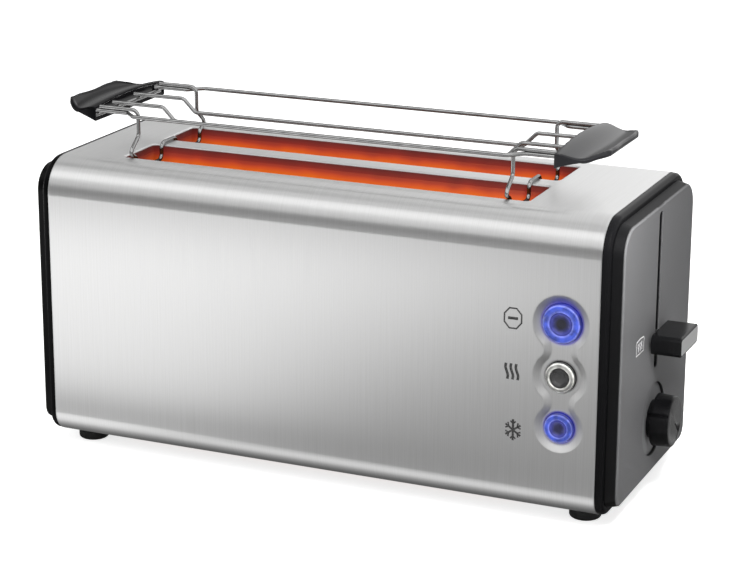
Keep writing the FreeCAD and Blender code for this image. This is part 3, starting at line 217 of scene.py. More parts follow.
def moulded_grain():
    """The fine sparkle of spark-eroded plastic."""
    group = Group("moulded_grain")
    group.input("Scale", "NodeSocketFloat", 2600.0)
    group.output("Height", "NodeSocketFloat")
    place = object_place(group.tree)
    group.send("Height", noise(group.tree, place, group.inlet.outputs["Scale"], 2.0))
    return group.tree


def round_share():
    """How far a point is from a round piece's axis, as a share of its radius. Across picks the
    two axes that count."""
    group = Group("round_share")
    group.input("Centre", "NodeSocketVector")
    group.input("Across", "NodeSocketVector", (1.0, 0.0, 1.0))
    group.input("Radius", "NodeSocketFloat", 0.01)
    group.output("Share", "NodeSocketFloat")
    tree, inlet = group.tree, group.inlet.outputs
    away = vector_maths(tree, "SUBTRACT", object_place(tree), inlet["Centre"])
    flat = vector_maths(tree, "MULTIPLY", away, inlet["Across"])
    length = add_node(tree, "ShaderNodeVectorMath", {0: flat}, operation="LENGTH")
    group.send("Share", maths(tree, "DIVIDE", length.outputs["Value"], inlet["Radius"]))
    return tree


# The heater light in the slots, in metres: how far past the liner it reaches, how deep the unlit
# lip is, the depth over which its colours change, and how far from the slots' ends it fades.
SLOT_MARGIN = 0.001
LIP_DEPTH = 0.0009
SLOT_VIEW = 0.013
SLOT_FADE = 0.016
SLOT_END_LEVEL = 0.55
SLOT_COLOURS = [(0.0, seen(80, 32, 36)), (0.12, seen(95, 34, 33)), (0.3, seen(120, 38, 34)),
                (0.5, seen(155, 45, 33)), (0.62, seen(188, 64, 29)), (0.75, seen(204, 80, 22)),
                (0.9, seen(214, 98, 6)), (1.0, seen(220, 118, 24))]


def slot_light():
    """Heater light on the walls of both slots: dark red under the lips and orange lower down."""
    group = Group("slot_light")
    group.output("Glow", "NodeSocketColor")
    group.output("Inside", "NodeSocketFloat")
    tree, place = group.tree, object_place(group.tree)
    x, y, z = axes(tree, place)
    along = maths(tree, "ABSOLUTE", maths(tree, "SUBTRACT", x, SLOT_MIDDLE_X))
    across = maths(tree, "ABSOLUTE", maths(tree, "SUBTRACT", y, MIDDLE_Y))
    depth = maths(tree, "SUBTRACT", TOP_Z, z)
    inside = maths(tree, "LESS_THAN", along, SLOT_HALF + SLOT_MARGIN)
    for limit in (maths(tree, "LESS_THAN", across, SLOT_OUTER + SLOT_MARGIN),
                  maths(tree, "GREATER_THAN", across, SLOT_INNER - SLOT_MARGIN),
                  maths(tree, "GREATER_THAN", depth, LIP_DEPTH)):
        inside = maths(tree, "MULTIPLY", inside, limit)
    ripple = maths(tree, "MULTIPLY_ADD", noise(tree, place, 60.0, 1.0), 0.004, -0.002)
    share = maths(tree, "DIVIDE", maths(tree, "ADD", depth, ripple), SLOT_VIEW)
    colour = colour_ramp(tree, share, SLOT_COLOURS)
    near_end = vary(tree, along, 1.0, SLOT_END_LEVEL, SLOT_HALF - SLOT_FADE, SLOT_HALF)
    group.send("Glow", scaled(tree, colour, maths(tree, "MULTIPLY", inside, near_end)))
    group.send("Inside", inside)
    return tree


GRAIN = brushed_grain()
MOULD = moulded_grain()
ROUND = round_share()
SLOT_LIGHT = slot_light()


# Finishes.

def finish(name, **values):
    """A material with its Principled shader's plain values set."""
    material = bpy.data.materials.new(name)
    material.use_nodes = True
    shader = material.node_tree.nodes["Principled BSDF"]
    for socket, value in values.items():
        shader.inputs[socket.replace("_", " ")].default_value = value
    return material, material.node_tree, shader


def use_group(tree, group, **values):
    made = tree.nodes.new("ShaderNodeGroup")
    made.node_tree = group
    for socket, value in values.items():
        made.inputs[socket].default_value = value
    return made


def bump(tree, shader, height, strength, distance):
    made = add_node(tree, "ShaderNodeBump", {"Height": height, "Strength": strength,
                                             "Distance": distance})
    tree.links.new(made.outputs["Normal"], shader.inputs["Normal"])


def soften(tree, shader, radius):
    """Rounds the look of edges under the bump of a finish."""
    soft = add_node(tree, "ShaderNodeBevel", {"Radius": radius}, samples=4)
    relief = shader.inputs["Normal"].links[0].from_node
    tree.links.new(soft.outputs["Normal"], relief.inputs["Normal"])


# The share of its light that a glowing surface keeps from what it would light or mirror in.
GLOW_HELD_BACK = 0.85


def hold_back_glow(tree, shader, strength=1.0):
    """Wire, steel and worktop round the slots pick up only a little of the heater light."""
    path = add_node(tree, "ShaderNodeLightPath")
    spread = maths(tree, "MAXIMUM", path.outputs["Is Glossy Ray"], path.outputs["Is Diffuse Ray"])
    level = maths(tree, "MULTIPLY_ADD", spread, -GLOW_HELD_BACK * strength, strength)
    tree.links.new(level, shader.inputs["Emission Strength"])


def brushed_steel(name, dark, light, rough, fineness=1.0, **values):
    """Steel with brushed streaks in its tint, its gloss and its relief."""
    material, tree, shader = finish(name, Metallic=1.0, **values)
    streak = use_group(tree, GRAIN, Fineness=fineness).outputs["Streak"]
    tint = blend_colour(tree, vary(tree, streak, 0.0, 1.0), dark, light)
    tree.links.new(tint, shader.inputs["Base Color"])
    tree.links.new(vary(tree, streak, rough - 0.02, rough + 0.03), shader.inputs["Roughness"])
    bump(tree, shader, streak, 0.05, 0.00005)
    return material, tree, shader


def moulded_plastic(name, colour, rough, texture=0.1, coat=0.0, gloss=0.5, soft=0.0):
    """Moulded plastic or rubber with a fine grain, and rounded edges where soft gives a radius."""
    material, tree, shader = finish(name, Roughness=rough, Coat_Weight=coat, Coat_Roughness=0.08,
                                    Specular_IOR_Level=gloss)
    height = use_group(tree, MOULD).outputs["Height"]
    lighter = tuple(c * 1.3 + 0.0005 for c in colour)
    tint = blend_colour(tree, vary(tree, height, 0.0, 1.0), colour, lighter)
    tree.links.new(tint, shader.inputs["Base Color"])
    bump(tree, shader, height, texture, 0.0001)
    if soft:
        soften(tree, shader, soft)
    return material


def glowing(name, colour, glow, strength):
    """A red-hot ribbon."""
    material, tree, shader = finish(name, Roughness=0.4, Emission_Strength=strength)
    shader.inputs["Base Color"].default_value = (*colour, 1.0)
    shader.inputs["Emission Color"].default_value = (*glow, 1.0)
    hold_back_glow(tree, shader, strength)
    return material


def chrome_wire(name, face, edge, rough):
    """Bright-plated rod with a painted reflection: pale along its middle and dark at its edges as
    they turn from the view, with faint drawing marks.
    """
    material, tree, shader = finish(name, Metallic=1.0)
    grain = use_group(tree, GRAIN, Fineness=0.25)
    # The facing blend paints the reflection: pale where the rod faces the view, dark at its edges.
    turn = add_node(tree, "ShaderNodeLayerWeight", {"Blend": 0.5})
    away = vary(tree, turn.outputs["Facing"], 0.0, 1.0, 0.25, 0.95)
    clouded = vary(tree, grain.outputs["Cloud"], 0.0, 1.0)
    pale = blend_colour(tree, clouded, tuple(c * 0.72 for c in face), face)
    tree.links.new(blend_colour(tree, away, pale, edge), shader.inputs["Base Color"])
    tree.links.new(vary(tree, grain.outputs["Streak"], rough, rough + 0.06),
                   shader.inputs["Roughness"])
    return material


CAP_RADIUS = {"stop": 6.5 * MM, "reheat": 5.7 * MM, "defrost": 5.0 * MM}


def ring_share(tree, button):
    """Distance from a button's axis as a share of its ring's radius."""
    low, high = extent(f"{button}_light_ring")
    made = use_group(tree, ROUND, Centre=(low + high) / 2, Radius=(high.x - low.x) / 2)
    return made.outputs["Share"]


def cap_share(button):
    """A cap's radius as a share of its ring's."""
    low, high = extent(f"{button}_light_ring")
    return CAP_RADIUS[button] / ((high.x - low.x) / 2)


def mark_height(button):
    low, high = extent(f"{button}_light_ring")
    return (low.z + high.z) / 2


def lamp_lit(tree, shader, colour, lit):
    """A lit piece glows in most of its colour and reflects the rest; an unlit one only reflects."""
    tree.links.new(scaled(tree, colour, 1.0 - lit * 0.8), shader.inputs["Base Color"])
    if lit:
        tree.links.new(scaled(tree, colour, lit * 0.85), shader.inputs["Emission Color"])


def lit_ring(name, button, body, crest_highlight, rim, lit):
    """Clear ring round a cap: its body takes the lamp's colour, its inner and outer crests carry a
    painted highlight, and its outer rim is darker."""
    material, tree, shader = finish(name, Roughness=0.1, Coat_Weight=1.0, Coat_Roughness=0.03,
                                    Emission_Strength=lit)
    cap = cap_share(button)
    # The crest bands are a painted highlight on the rounded ring.
    bands = colour_ramp(tree, ring_share(tree, button), [
        (0.0, rim), (cap, rim), (cap + 0.06, crest_highlight), (cap + 0.16, body), (0.86, body),
        (0.93, crest_highlight), (0.97, rim), (1.0, rim)])
    cloud = noise(tree, object_place(tree), 230.0, 1.5)
    patchy = scaled(tree, bands, vary(tree, cloud, 0.6, 1.35, 0.35, 0.65))
    lamp_lit(tree, shader, patchy, lit)
    return material


def button_cap(name, button, rim, centre, lit):
    """Smoked cap: its dish is darkest in the middle, and lamp colour shows through near its rim."""
    material, tree, shader = finish(name, Roughness=0.25, Coat_Weight=0.4, Coat_Roughness=0.1,
                                    Emission_Strength=lit, Specular_IOR_Level=0.3)
    share = maths(tree, "DIVIDE", ring_share(tree, button), cap_share(button))
    halfway = tuple(a * 0.35 + b * 0.65 for a, b in zip(rim, centre))
    tint = colour_ramp(tree, share, [(0.0, centre), (0.4, centre), (0.65, halfway), (0.88, rim),
                                     (1.0, rim)])
    cloud = noise(tree, object_place(tree), 320.0, 1.0)
    lamp_lit(tree, shader, scaled(tree, tint, vary(tree, cloud, 0.75, 1.15)), lit)
    return material


# The control panel, in metres: its dish, how far behind its face the black edge of painted shade
# ends and the grey begins, and half the lever slot's width, its lowest height and what is added
# to its wall's depth.
PANEL_SHADE_BLACK, PANEL_GREYS = (0.002, 0.002, 0.0022), ((0.062, 0.062, 0.063), (0.076, 0.076, 0.078))
DISH_RADIUS = 0.023
# By share of the dish's radius: its floor painted lighter as light, its wall painted dark as shade.
DISH_LIGHT_AND_SHADE = [(0.0, 1.3), (0.93, 1.5), (0.965, 1.1), (0.975, 0.1), (1.0, 0.1), (1.015, 1.0)]
DISH_FLOOR = 0.97
EDGE_BLACK, EDGE_GREY = 0.0013, 0.0004
LEVER_SLOT_ASIDE, LEVER_SLOT_FOOT, LEVER_SLOT_WALL = 0.006, 0.08, 0.0003


def end_panel():
    """Grained dark grey face; its wrapped edge and the wall of the lever slot are painted black as
    shade, and the knob's dish is painted lighter inside as light and dark at its wall as shade."""
    material, tree, shader = finish("end_panel", Roughness=0.5, Specular_IOR_Level=0.15)
    height = use_group(tree, MOULD).outputs["Height"]
    grey = blend_colour(tree, vary(tree, height, 0.0, 1.0), *PANEL_GREYS)
    low, high = extent("browning_knob")
    share = use_group(tree, ROUND, Centre=(low + high) / 2, Across=(0.0, 1.0, 1.0),
                      Radius=DISH_RADIUS).outputs["Share"]
    # Painted light on the dish's floor and painted shade on its wall.
    grey = scaled(tree, grey, colour_ramp(tree, share, DISH_LIGHT_AND_SHADE))
    x, y, z = axes(tree, object_place(tree))
    aside = maths(tree, "ABSOLUTE", maths(tree, "SUBTRACT", y, MIDDLE_Y))
    slot = maths(tree, "MULTIPLY", maths(tree, "LESS_THAN", aside, LEVER_SLOT_ASIDE),
                 maths(tree, "GREATER_THAN", z, LEVER_SLOT_FOOT))
    depth = maths(tree, "MULTIPLY_ADD", slot, -LEVER_SLOT_WALL, x)
    # The wrapped edge and the lever slot's wall are painted black as shade.
    face = vary(tree, depth, 0.0, 1.0, PANEL_X - EDGE_BLACK, PANEL_X - EDGE_GREY)
    face = maths(tree, "MAXIMUM", face, maths(tree, "LESS_THAN", share, DISH_FLOOR))
    tree.links.new(blend_colour(tree, face, PANEL_SHADE_BLACK, grey), shader.inputs["Base Color"])
    bump(tree, shader, height, 0.12, 0.0001)
    return material


def on_front(tree):
    """One on the button side of the sheet and nothing on its back."""
    return maths(tree, "LESS_THAN", axes(tree, object_place(tree))[1], MIDDLE_Y)


# The pressed place round the buttons, in metres, and how far its slope turns off the face.
RECESS_ASIDE, RECESS_UP = 0.022, 0.06
SLOPE_START, SLOPE_FULL = -0.995, -0.93


def recess_slope(tree):
    """Marks the sloping wall of the pressed place round the buttons, which scatters light more
    than the brushed face and is given painted light."""
    x, _, z = axes(tree, object_place(tree))
    turned = axes(tree, surface_normal(tree))[1]
    slope = vary(tree, turned, 0.0, 1.0, SLOPE_START, SLOPE_FULL)
    low, high = extent("stop_light_ring")
    aside = maths(tree, "ABSOLUTE", maths(tree, "SUBTRACT", x, (low.x + high.x) / 2))
    above = maths(tree, "ABSOLUTE", maths(tree, "SUBTRACT", z, mark_height("reheat")))
    slope = maths(tree, "MULTIPLY", slope, maths(tree, "LESS_THAN", aside, RECESS_ASIDE))
    return maths(tree, "MULTIPLY", slope, maths(tree, "LESS_THAN", above, RECESS_UP))


STEEL_DARK, STEEL_LIGHT = (0.74, 0.74, 0.735), (0.80, 0.80, 0.80)
# Inside the slots the steel is painted near black as shade, under the painted heater light.
SLOT_WALL_SHADE = (0.02, 0.008, 0.006)
# Painted lamp light on the steel round a lit button, a blue wash in its colour and a glowing
# halo, and how many radii out each part reaches.
RING_PAINTED_LIGHT, RING_PAINTED_LIGHT_REACH = (0.16, 0.14, 0.72), 1.16
RING_PAINTED_HALO, RING_PAINTED_HALO_REACH = (0.025, 0.02, 0.13), 1.3
SLOPE_ROUGHER = 0.3
# Painted light on the recess slope, and what is added where the slope faces up.
SLOPE_PAINTED_LIGHT, SLOPE_PAINTED_LIGHT_UPWARD = 0.085, 0.28


def sleeve_steel():
    """Steel brushed round the wrap of the sheet, so reflections spread along its length and stay
    crisp across it. Inside the slot lips the steel is painted dark as shade and carries painted
    heater light, round the two lit buttons it carries painted lamp light, and the slope of the
    pressed place round them is duller and carries painted light, more where it faces up."""
    material, tree, shader = brushed_steel("sleeve_steel", STEEL_DARK, STEEL_LIGHT, 0.34, 1.6,
                                           Anisotropic=0.9, Emission_Strength=1.0)
    along = add_node(tree, "ShaderNodeCombineXYZ", {"X": 1.0})
    tree.links.new(along.outputs["Vector"], shader.inputs["Tangent"])
    steel = shader.inputs["Base Color"].links[0].from_socket
    slots = use_group(tree, SLOT_LIGHT).outputs
    light = slots["Glow"]
    # Painted shade inside the slots, where the steel's metal is turned off too.
    steel = blend_colour(tree, slots["Inside"], steel, SLOT_WALL_SHADE)
    tree.links.new(maths(tree, "SUBTRACT", 1.0, slots["Inside"]), shader.inputs["Metallic"])
    front = on_front(tree)
    for button in ("stop", "defrost"):
        share = ring_share(tree, button)
        # Painted lamp light: a blue wash in the steel's colour and a glowing halo round the button.
        near = vary(tree, share, 1.0, 0.0, 1.0, RING_PAINTED_LIGHT_REACH)
        steel = blend_colour(tree, maths(tree, "MULTIPLY", front, near), steel, RING_PAINTED_LIGHT)
        halo = vary(tree, share, 1.0, 0.0, 1.0, RING_PAINTED_HALO_REACH)
        halo = scaled(tree, RING_PAINTED_HALO, maths(tree, "MULTIPLY", front, halo))
        light = vector_maths(tree, "ADD", light, halo)
    tree.links.new(steel, shader.inputs["Base Color"])
    soften(tree, shader, 0.0016)
    slope = maths(tree, "MULTIPLY", front, recess_slope(tree))
    rough = shader.inputs["Roughness"].links[0].from_socket
    duller = maths(tree, "MULTIPLY", slope, SLOPE_ROUGHER)
    tree.links.new(maths(tree, "ADD", rough, duller), shader.inputs["Roughness"])
    # Painted light on the recess slope, stronger where it faces up.
    upward = maths(tree, "MULTIPLY_ADD", axes(tree, surface_normal(tree))[2], SLOPE_PAINTED_LIGHT_UPWARD,
                   SLOPE_PAINTED_LIGHT, clamp=True)
    lift = scaled(tree, (1.0, 1.0, 1.0), maths(tree, "MULTIPLY", upward, slope))
    tree.links.new(vector_maths(tree, "ADD", light, lift), shader.inputs["Emission Color"])
    hold_back_glow(tree, shader)
    return material


def throat_glow():
    """The slot liner: dark red at its top, orange below where the heaters light it."""
    material, tree, shader = finish("throat_glow", Roughness=0.3, Emission_Strength=1.0)
    shader.inputs["Base Color"].default_value = (0.06, 0.02, 0.01, 1.0)
    tree.links.new(use_group(tree, SLOT_LIGHT).outputs["Glow"], shader.inputs["Emission Color"])
    hold_back_glow(tree, shader)
    bump(tree, shader, use_group(tree, GRAIN, Fineness=0.5).outputs["Streak"], 0.2, 0.0001)
    return material


# A ring's body, the painted highlight on its crests, and its rim, with its lamp on and off.
LAMP_ON = seen(50, 70, 168), seen(104, 114, 200), seen(34, 40, 122)
LAMP_OFF = seen(92, 92, 90), seen(160, 160, 156), seen(22, 22, 22)
END_BLACK, GLOSS_BLACK = (0.0018, 0.0018, 0.002), (0.002, 0.002, 0.0022)
FINISHES = {
    "brushed_sleeve": sleeve_steel(),
    "end_plastic": moulded_plastic("end_plastic", END_BLACK, 0.24, 0.05, 0.0, 0.05, soft=0.0008),
    "panel_plastic": end_panel(),
    "gloss_black": moulded_plastic("gloss_black", GLOSS_BLACK, 0.2, 0.03, 0.03, 0.15, soft=0.0009),
    "silver_inlay": brushed_steel("silver_inlay", (0.58, 0.58, 0.58), (0.66, 0.66, 0.66), 0.4)[0],
    "rubber": moulded_plastic("rubber", (0.01, 0.01, 0.01), 0.55, 0.2, 0.0, 0.3),
    "zinc_steel": brushed_steel("zinc_steel", (0.45, 0.46, 0.47), (0.55, 0.56, 0.57), 0.4)[0],
    "bright_sheet": brushed_steel("bright_sheet", (0.6, 0.6, 0.6), (0.7, 0.7, 0.7), 0.25)[0],
    "mica": moulded_plastic("mica", (0.5, 0.42, 0.32), 0.6, 0.2),
    "glowing_ribbon": glowing("glowing_ribbon", (0.3, 0.1, 0.05), (1.0, 0.25, 0.04), 2.5),
    "guard_wire": chrome_wire("guard_wire", (0.3, 0.26, 0.24), (0.06, 0.04, 0.03), 0.3),
    "magnet_iron": moulded_plastic("magnet_iron", (0.3, 0.16, 0.08), 0.4),
    "circuit_board": moulded_plastic("circuit_board", (0.03, 0.16, 0.06), 0.4),
    "switch_plastic": moulded_plastic("switch_plastic", (0.03, 0.03, 0.033), 0.4),
    "button_cap": button_cap("reheat_cap", "reheat", seen(30, 30, 30), seen(42, 42, 42), 0.0),
    "clear_ring": lit_ring("clear_ring", "reheat", *LAMP_OFF, 0.0),
    "blue_ring": lit_ring("stop_ring", "stop", *LAMP_ON, 1.0),
    "chrome_wire": chrome_wire("chrome_wire", (0.5, 0.5, 0.5), (0.03, 0.03, 0.03), 0.1),
}
SLOT_LINER = throat_glow()
FINISHES_BY_NODE = {
    "front_slot_throat": SLOT_LINER,
    "back_slot_throat": SLOT_LINER,
    "defrost_light_ring": lit_ring("defrost_ring", "defrost", *LAMP_ON, 1.0),
    "stop_button_cap": button_cap("stop_cap", "stop", seen(56, 60, 132), seen(30, 30, 40), 1.0),
    "defrost_button_cap": button_cap("defrost_cap", "defrost", seen(58, 62, 138),
                                     seen(38, 38, 70), 1.0),
}


def paint(piece, material):
    """Gives a piece one finish."""
    piece.data.materials.clear()
    piece.data.materials.append(material)


def dress_nodes():
    """Gives every node of the frame the finish of its slot."""
    for part in frame["record"]["subparts"]:
        node = part["node"]
        paint(NODES[node], FINISHES_BY_NODE.get(node) or FINISHES[part["material_slot"]])


dress_nodes()


# Pieces that stand for their solids: the drawn-out coil, the knob with its neck, and the grips.

def pick(*pieces):
    """Selects these pieces alone and makes the first one active."""
    bpy.ops.object.select_all(action="DESELECT")
    for piece in pieces:
        piece.select_set(True)
    bpy.context.view_layer.objects.active = pieces[0]


def bezier(points):
    """A curve along points x, y and z in metres, and its first spline."""
    bpy.ops.curve.primitive_bezier_curve_add(radius=MM, location=(0, 0, 0))
    made = bpy.context.object
    line = made.data.splines[0]
    line.bezier_points.add(len(points) - 2)
    for knot, point in zip(line.bezier_points, points):
        knot.co = point
    return made, line


def round_bead(points, thickness, steps=10):
    """A round rod along a path; each point is x, y, z and its share of the thickness, in
    millimetres."""
    made, line = bezier([(x * MM, y * MM, z * MM) for x, y, z, _ in points])
    for knot, point in zip(line.bezier_points, points):
        knot.radius = point[3]
        knot.handle_left_type = knot.handle_right_type = "AUTO"
    line.resolution_u = steps
    made.data.dimensions = "3D"
    made.data.bevel_depth = thickness * MM / 2
    made.data.bevel_resolution = 4 if steps > 4 else 2
    made.data.use_fill_caps = True
    bpy.ops.object.convert(target="MESH")
    return bpy.context.object


def welded_copy(node):
    """A copy of a solid as one welded mesh, ready to be worked on."""
    made = NODES[node].copy()
    made.data = NODES[node].data.copy()
    bpy.context.collection.objects.link(made)
    made.parent = None
    made.matrix_world = Matrix()
    made.name = f"{node}_moulding"
    pick(made)
    bpy.ops.object.mode_set(mode="EDIT")
    bpy.ops.mesh.select_all(action="SELECT")
    bpy.ops.mesh.remove_doubles(threshold=0.00002)
    bpy.ops.object.mode_set(mode="OBJECT")
    return made


SPRING_WIRE = 1.0
SPRING_TURNS, TURN_CORNERS = 22, 8


def coiled_return_spring():
    """The coil that pulls the carriage up, drawn out while the lever is held down."""
    bpy.ops.object.select_all(action="DESELECT")
    low, high = extent("return_spring")
    middle = (low + high) / 2
    reach = (high.x - low.x) / 2 / MM - SPRING_WIRE / 2
    length = (high.z - low.z) / MM - SPRING_WIRE
    points = []
    for k in range(SPRING_TURNS * TURN_CORNERS + 1):
        turn, share = math.tau * k / TURN_CORNERS, k / (SPRING_TURNS * TURN_CORNERS)
        points.append((middle.x / MM + reach * math.cos(turn),
                       middle.y / MM + reach * math.sin(turn),
                       low.z / MM + SPRING_WIRE / 2 + length * share, 1.0))
    coil = round_bead(points, SPRING_WIRE, steps=3)
    coil.name = "return_spring_coil"
    bpy.ops.object.shade_smooth()
    paint(coil, FINISHES["guard_wire"])
    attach(coil, "lift")
    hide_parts("return_spring")
    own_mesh(coil)
    bpy.ops.object.select_all(action="DESELECT")


# The knob's neck: the cuts that end it, how deep it is, what it leaves of the knob's middle, and
# the share of the knob's width that it keeps.
NECK_CUTS = (2.1 * MM, 1.8 * MM)
NECK_DEPTH = 1.9 * MM
KNOB_CORE = 9.0 * MM
NECK_SHARE = 0.72


def turned_knob():
    """The knob with a narrower neck behind it, so that it stands a little off its dish."""
    low, high = extent("browning_knob")
    axis = (low + high) / 2
    knob = welded_copy("browning_knob")
    bpy.ops.object.mode_set(mode="EDIT")
    for off in NECK_CUTS:
        bpy.ops.mesh.select_all(action="SELECT")
        bpy.ops.mesh.bisect(plane_co=(PANEL_X + off, 0, 0), plane_no=(1, 0, 0),
                            threshold=0.000001)
    bpy.ops.mesh.select_all(action="DESELECT")
    shell = bmesh.from_edit_mesh(knob.data)
    for point in shell.verts:
        reach = math.hypot(point.co.y - axis.y, point.co.z - axis.z)
        point.select = point.co.x < PANEL_X + NECK_DEPTH and reach > KNOB_CORE
    shell.select_flush(True)
    bmesh.update_edit_mesh(knob.data)
    bpy.ops.transform.resize(value=(1.0, NECK_SHARE, NECK_SHARE),
                             center_override=(PANEL_X, axis.y, axis.z))
    bpy.ops.object.mode_set(mode="OBJECT")
    pick(knob)
    bpy.ops.object.shade_smooth_by_angle(angle=math.radians(35))
    paint(knob, moulded_plastic("knob_black", END_BLACK, 0.22, 0.03, 0.03, 0.15, soft=0.0009))
    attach(knob, "knob")
    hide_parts("browning_knob")
    bpy.ops.object.select_all(action="DESELECT")


# A grip's rim, in millimetres: its thickness, how far the rails lie below the grip's top, and its
# path along one side, given as depth, inset, height over the rails and share of the thickness.
RIM_THICKNESS = 3.6
RAIL_DROP = 7.1
RIM_SIDE = [(3.0, 1.4, 1.9, 0.3), (8.5, 2.4, 1.3, 0.6), (16.5, 6.2, 0.2, 1.0),
            (22.3, 11.3, 1.9, 1.0), (26.4, 18.6, 3.1, 1.0)]
RIM_TIP_DEPTH, RIM_TIP_HEIGHT = 27.0, 3.0
GRIP_MOULDING = (("REMESH", {"mode": "VOXEL", "voxel_size": 0.0005, "use_smooth_shade": True}),
                 ("SMOOTH", {"factor": 0.5, "iterations": 7}),
                 ("DECIMATE", {"ratio": 0.35}))


def rack_grip(node, outward, material):
    """Copies the grip's solid, welds a rim along its sides and tip, and rounds it all over."""
    bpy.ops.object.select_all(action="DESELECT")
    low, high = extent(node)
    mouth = low.x if outward > 0 else high.x
    half, middle = (high.y - low.y) / 2 / MM, (high.y + low.y) / 2 / MM
    rail = high.z / MM - RAIL_DROP
    path = [(mouth / MM + outward * deep, middle - half + inset, rail + up, share)
            for deep, inset, up, share in RIM_SIDE]
    path += [(mouth / MM + outward * RIM_TIP_DEPTH, middle, rail + RIM_TIP_HEIGHT, 1.0)]
    path += [(x, 2 * middle - y, z, share) for x, y, z, share in path[-2::-1]]
    rim = round_bead(path, RIM_THICKNESS)
    grip = welded_copy(node)
    pick(grip, rim)
    bpy.ops.object.join()
    for kind, values in GRIP_MOULDING:
        step = grip.modifiers.new(kind.lower(), kind)
        for name, value in values.items():
            setattr(step, name, value)
        bpy.ops.object.modifier_apply(modifier=step.name)
    bpy.ops.object.shade_smooth()
    paint(grip, material)
    grip.visible_glossy = False
    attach(grip, "rack")
    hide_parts(node)
    bpy.ops.object.select_all(action="DESELECT")


GRIP_BLACK = (0.0025, 0.0025, 0.003)
coiled_return_spring()
turned_knob()
# Both grips are one black plastic; the left copy is made duller to look shaded and the right one
# glossier to show a sheen.
rack_grip("rack_left_handle", -1,
          moulded_plastic("left_grip_shaded_black", GRIP_BLACK, 0.22, 0.04, 0.0, 0.06))
rack_grip("rack_right_handle", 1,
          moulded_plastic("right_grip_sheen_black", GRIP_BLACK, 0.3, 0.04, 0.0, 0.5))


# Marks printed on the sleeve and the end panel. Sizes across and up are in millimetres.

def stroke(points, width, smooth=False, closed=False):
    """One printed line through points across and up, lying in the XZ plane."""
    made, line = bezier([(across * MM, 0, up * MM) for across, up in points])
    for knot in line.bezier_points:
        knot.handle_left_type = knot.handle_right_type = "AUTO" if smooth else "VECTOR"
    line.use_cyclic_u = closed
    line.resolution_u = 8 if smooth else 1
    made.data.bevel_depth = width * MM / 2
    made.data.bevel_resolution = 1
    made.data.use_fill_caps = not closed
    bpy.ops.object.convert(target="MESH")
    return bpy.context.object


def three_waves(wave, spacing, width):
    """A wavy stroke and its copies on both sides."""
    return [stroke([(u + shift, v) for u, v in wave], width, smooth=True)
            for shift in (-spacing, 0.0, spacing)]


def printed_mark(name, strokes, place, facing, material):
    """Joins strokes into one flat mark on a face: facing front or side."""
    pick(*strokes)
    bpy.ops.object.join()
    mark = bpy.context.object
    mark.name = name
    turn = Matrix.Rotation(math.radians(90), 4, "Z") if facing == "side" else Matrix()
    flat = Matrix.Diagonal((1.0, 0.05, 1.0, 1.0))
    mark.data.transform(Matrix.Translation(place) @ turn @ flat)
    paint(mark, material)
    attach(mark, "base")
    bpy.ops.object.select_all(action="DESELECT")


def ink(name, dark, light):
    """Screen-printed ink, a little uneven in its cover."""
    material, tree, shader = finish(name, Roughness=0.5, Specular_IOR_Level=0.3)
    height = use_group(tree, MOULD, Scale=900.0).outputs["Height"]
    tree.links.new(blend_colour(tree, vary(tree, height, 0.0, 1.0), dark, light),
                   shader.inputs["Base Color"])
    return material


MARKS_ASIDE = 129.0
OCTAGON_ACROSS, OCTAGON_UP, OCTAGON_CORNER = 5.3, 6.1, 1.082
HEAT_WAVE = [(-0.5, 4.9), (-0.75, 2.4), (0.0, 0.0), (0.75, -2.4), (0.5, -4.9)]
CRYSTAL_ARM, CRYSTAL_BARB = [(0.0, 0.0), (6.3, 0.0)], [(5.3, -1.9), (3.5, 0.0), (5.3, 1.9)]
CRYSTAL_ACROSS, CRYSTAL_UP = 0.86, 1.04
CRYSTAL_SHIFT, CRYSTAL_DROP = 1.5, 4.8


def octagon():
    corners = []
    for k in range(8):
        turn = math.radians(22.5 + 45 * k)
        corners.append((OCTAGON_ACROSS * math.cos(turn) * OCTAGON_CORNER,
                        OCTAGON_UP * math.sin(turn) * OCTAGON_CORNER))
    return corners


def crystal_line(turn, points):
    """Points given out along an arm and aside of it, turned to where the arm points."""
    ahead, side = (math.cos(turn), math.sin(turn)), (-math.sin(turn), math.cos(turn))
    return [(CRYSTAL_ACROSS * (ahead[0] * reach + side[0] * aside),
             CRYSTAL_UP * (ahead[1] * reach + side[1] * aside)) for reach, aside in points]


def sleeve_marks():
    """Stop sign, heat waves and ice crystal, each beside its button."""
    black = ink("black_ink", (0.012, 0.012, 0.012), (0.03, 0.03, 0.03))
    x = MIDDLE_X + MARKS_ASIDE * MM
    sign = [stroke(octagon(), 1.2, closed=True), stroke([(-3.1, 0.0), (3.1, 0.0)], 2.0)]
    printed_mark("stop_mark", sign, (x, FRONT_Y, mark_height("stop")), "front", black)
    waves = three_waves(HEAT_WAVE, 3.2, 1.9)
    printed_mark("reheat_mark", waves, (x, FRONT_Y, mark_height("reheat")), "front", black)
    arms = []
    for k in range(6):
        turn = math.radians(90 + 60 * k)
        arms.append(stroke(crystal_line(turn, CRYSTAL_ARM), 1.4))
        arms.append(stroke(crystal_line(turn, CRYSTAL_BARB), 1.2))
    place = (x + CRYSTAL_SHIFT * MM, FRONT_Y, mark_height("defrost") - CRYSTAL_DROP * MM)
    printed_mark("defrost_mark", arms, place, "front", black)


SLICE_OUTLINE = [(-7.2, -4.2), (-7.2, 1.2), (-8.2, 2.6), (-6.8, 4.3), (0.0, 4.9), (6.8, 4.3),
                 (8.2, 2.6), (7.2, 1.2), (7.2, -4.2)]
RISING_HEAT = [(0.0, 2.6), (-0.7, 1.0), (0.3, -0.8), (0.0, -2.4)]
TOAST_MARK_ASIDE, TOAST_MARK_HEIGHT = 34.0, 104.7


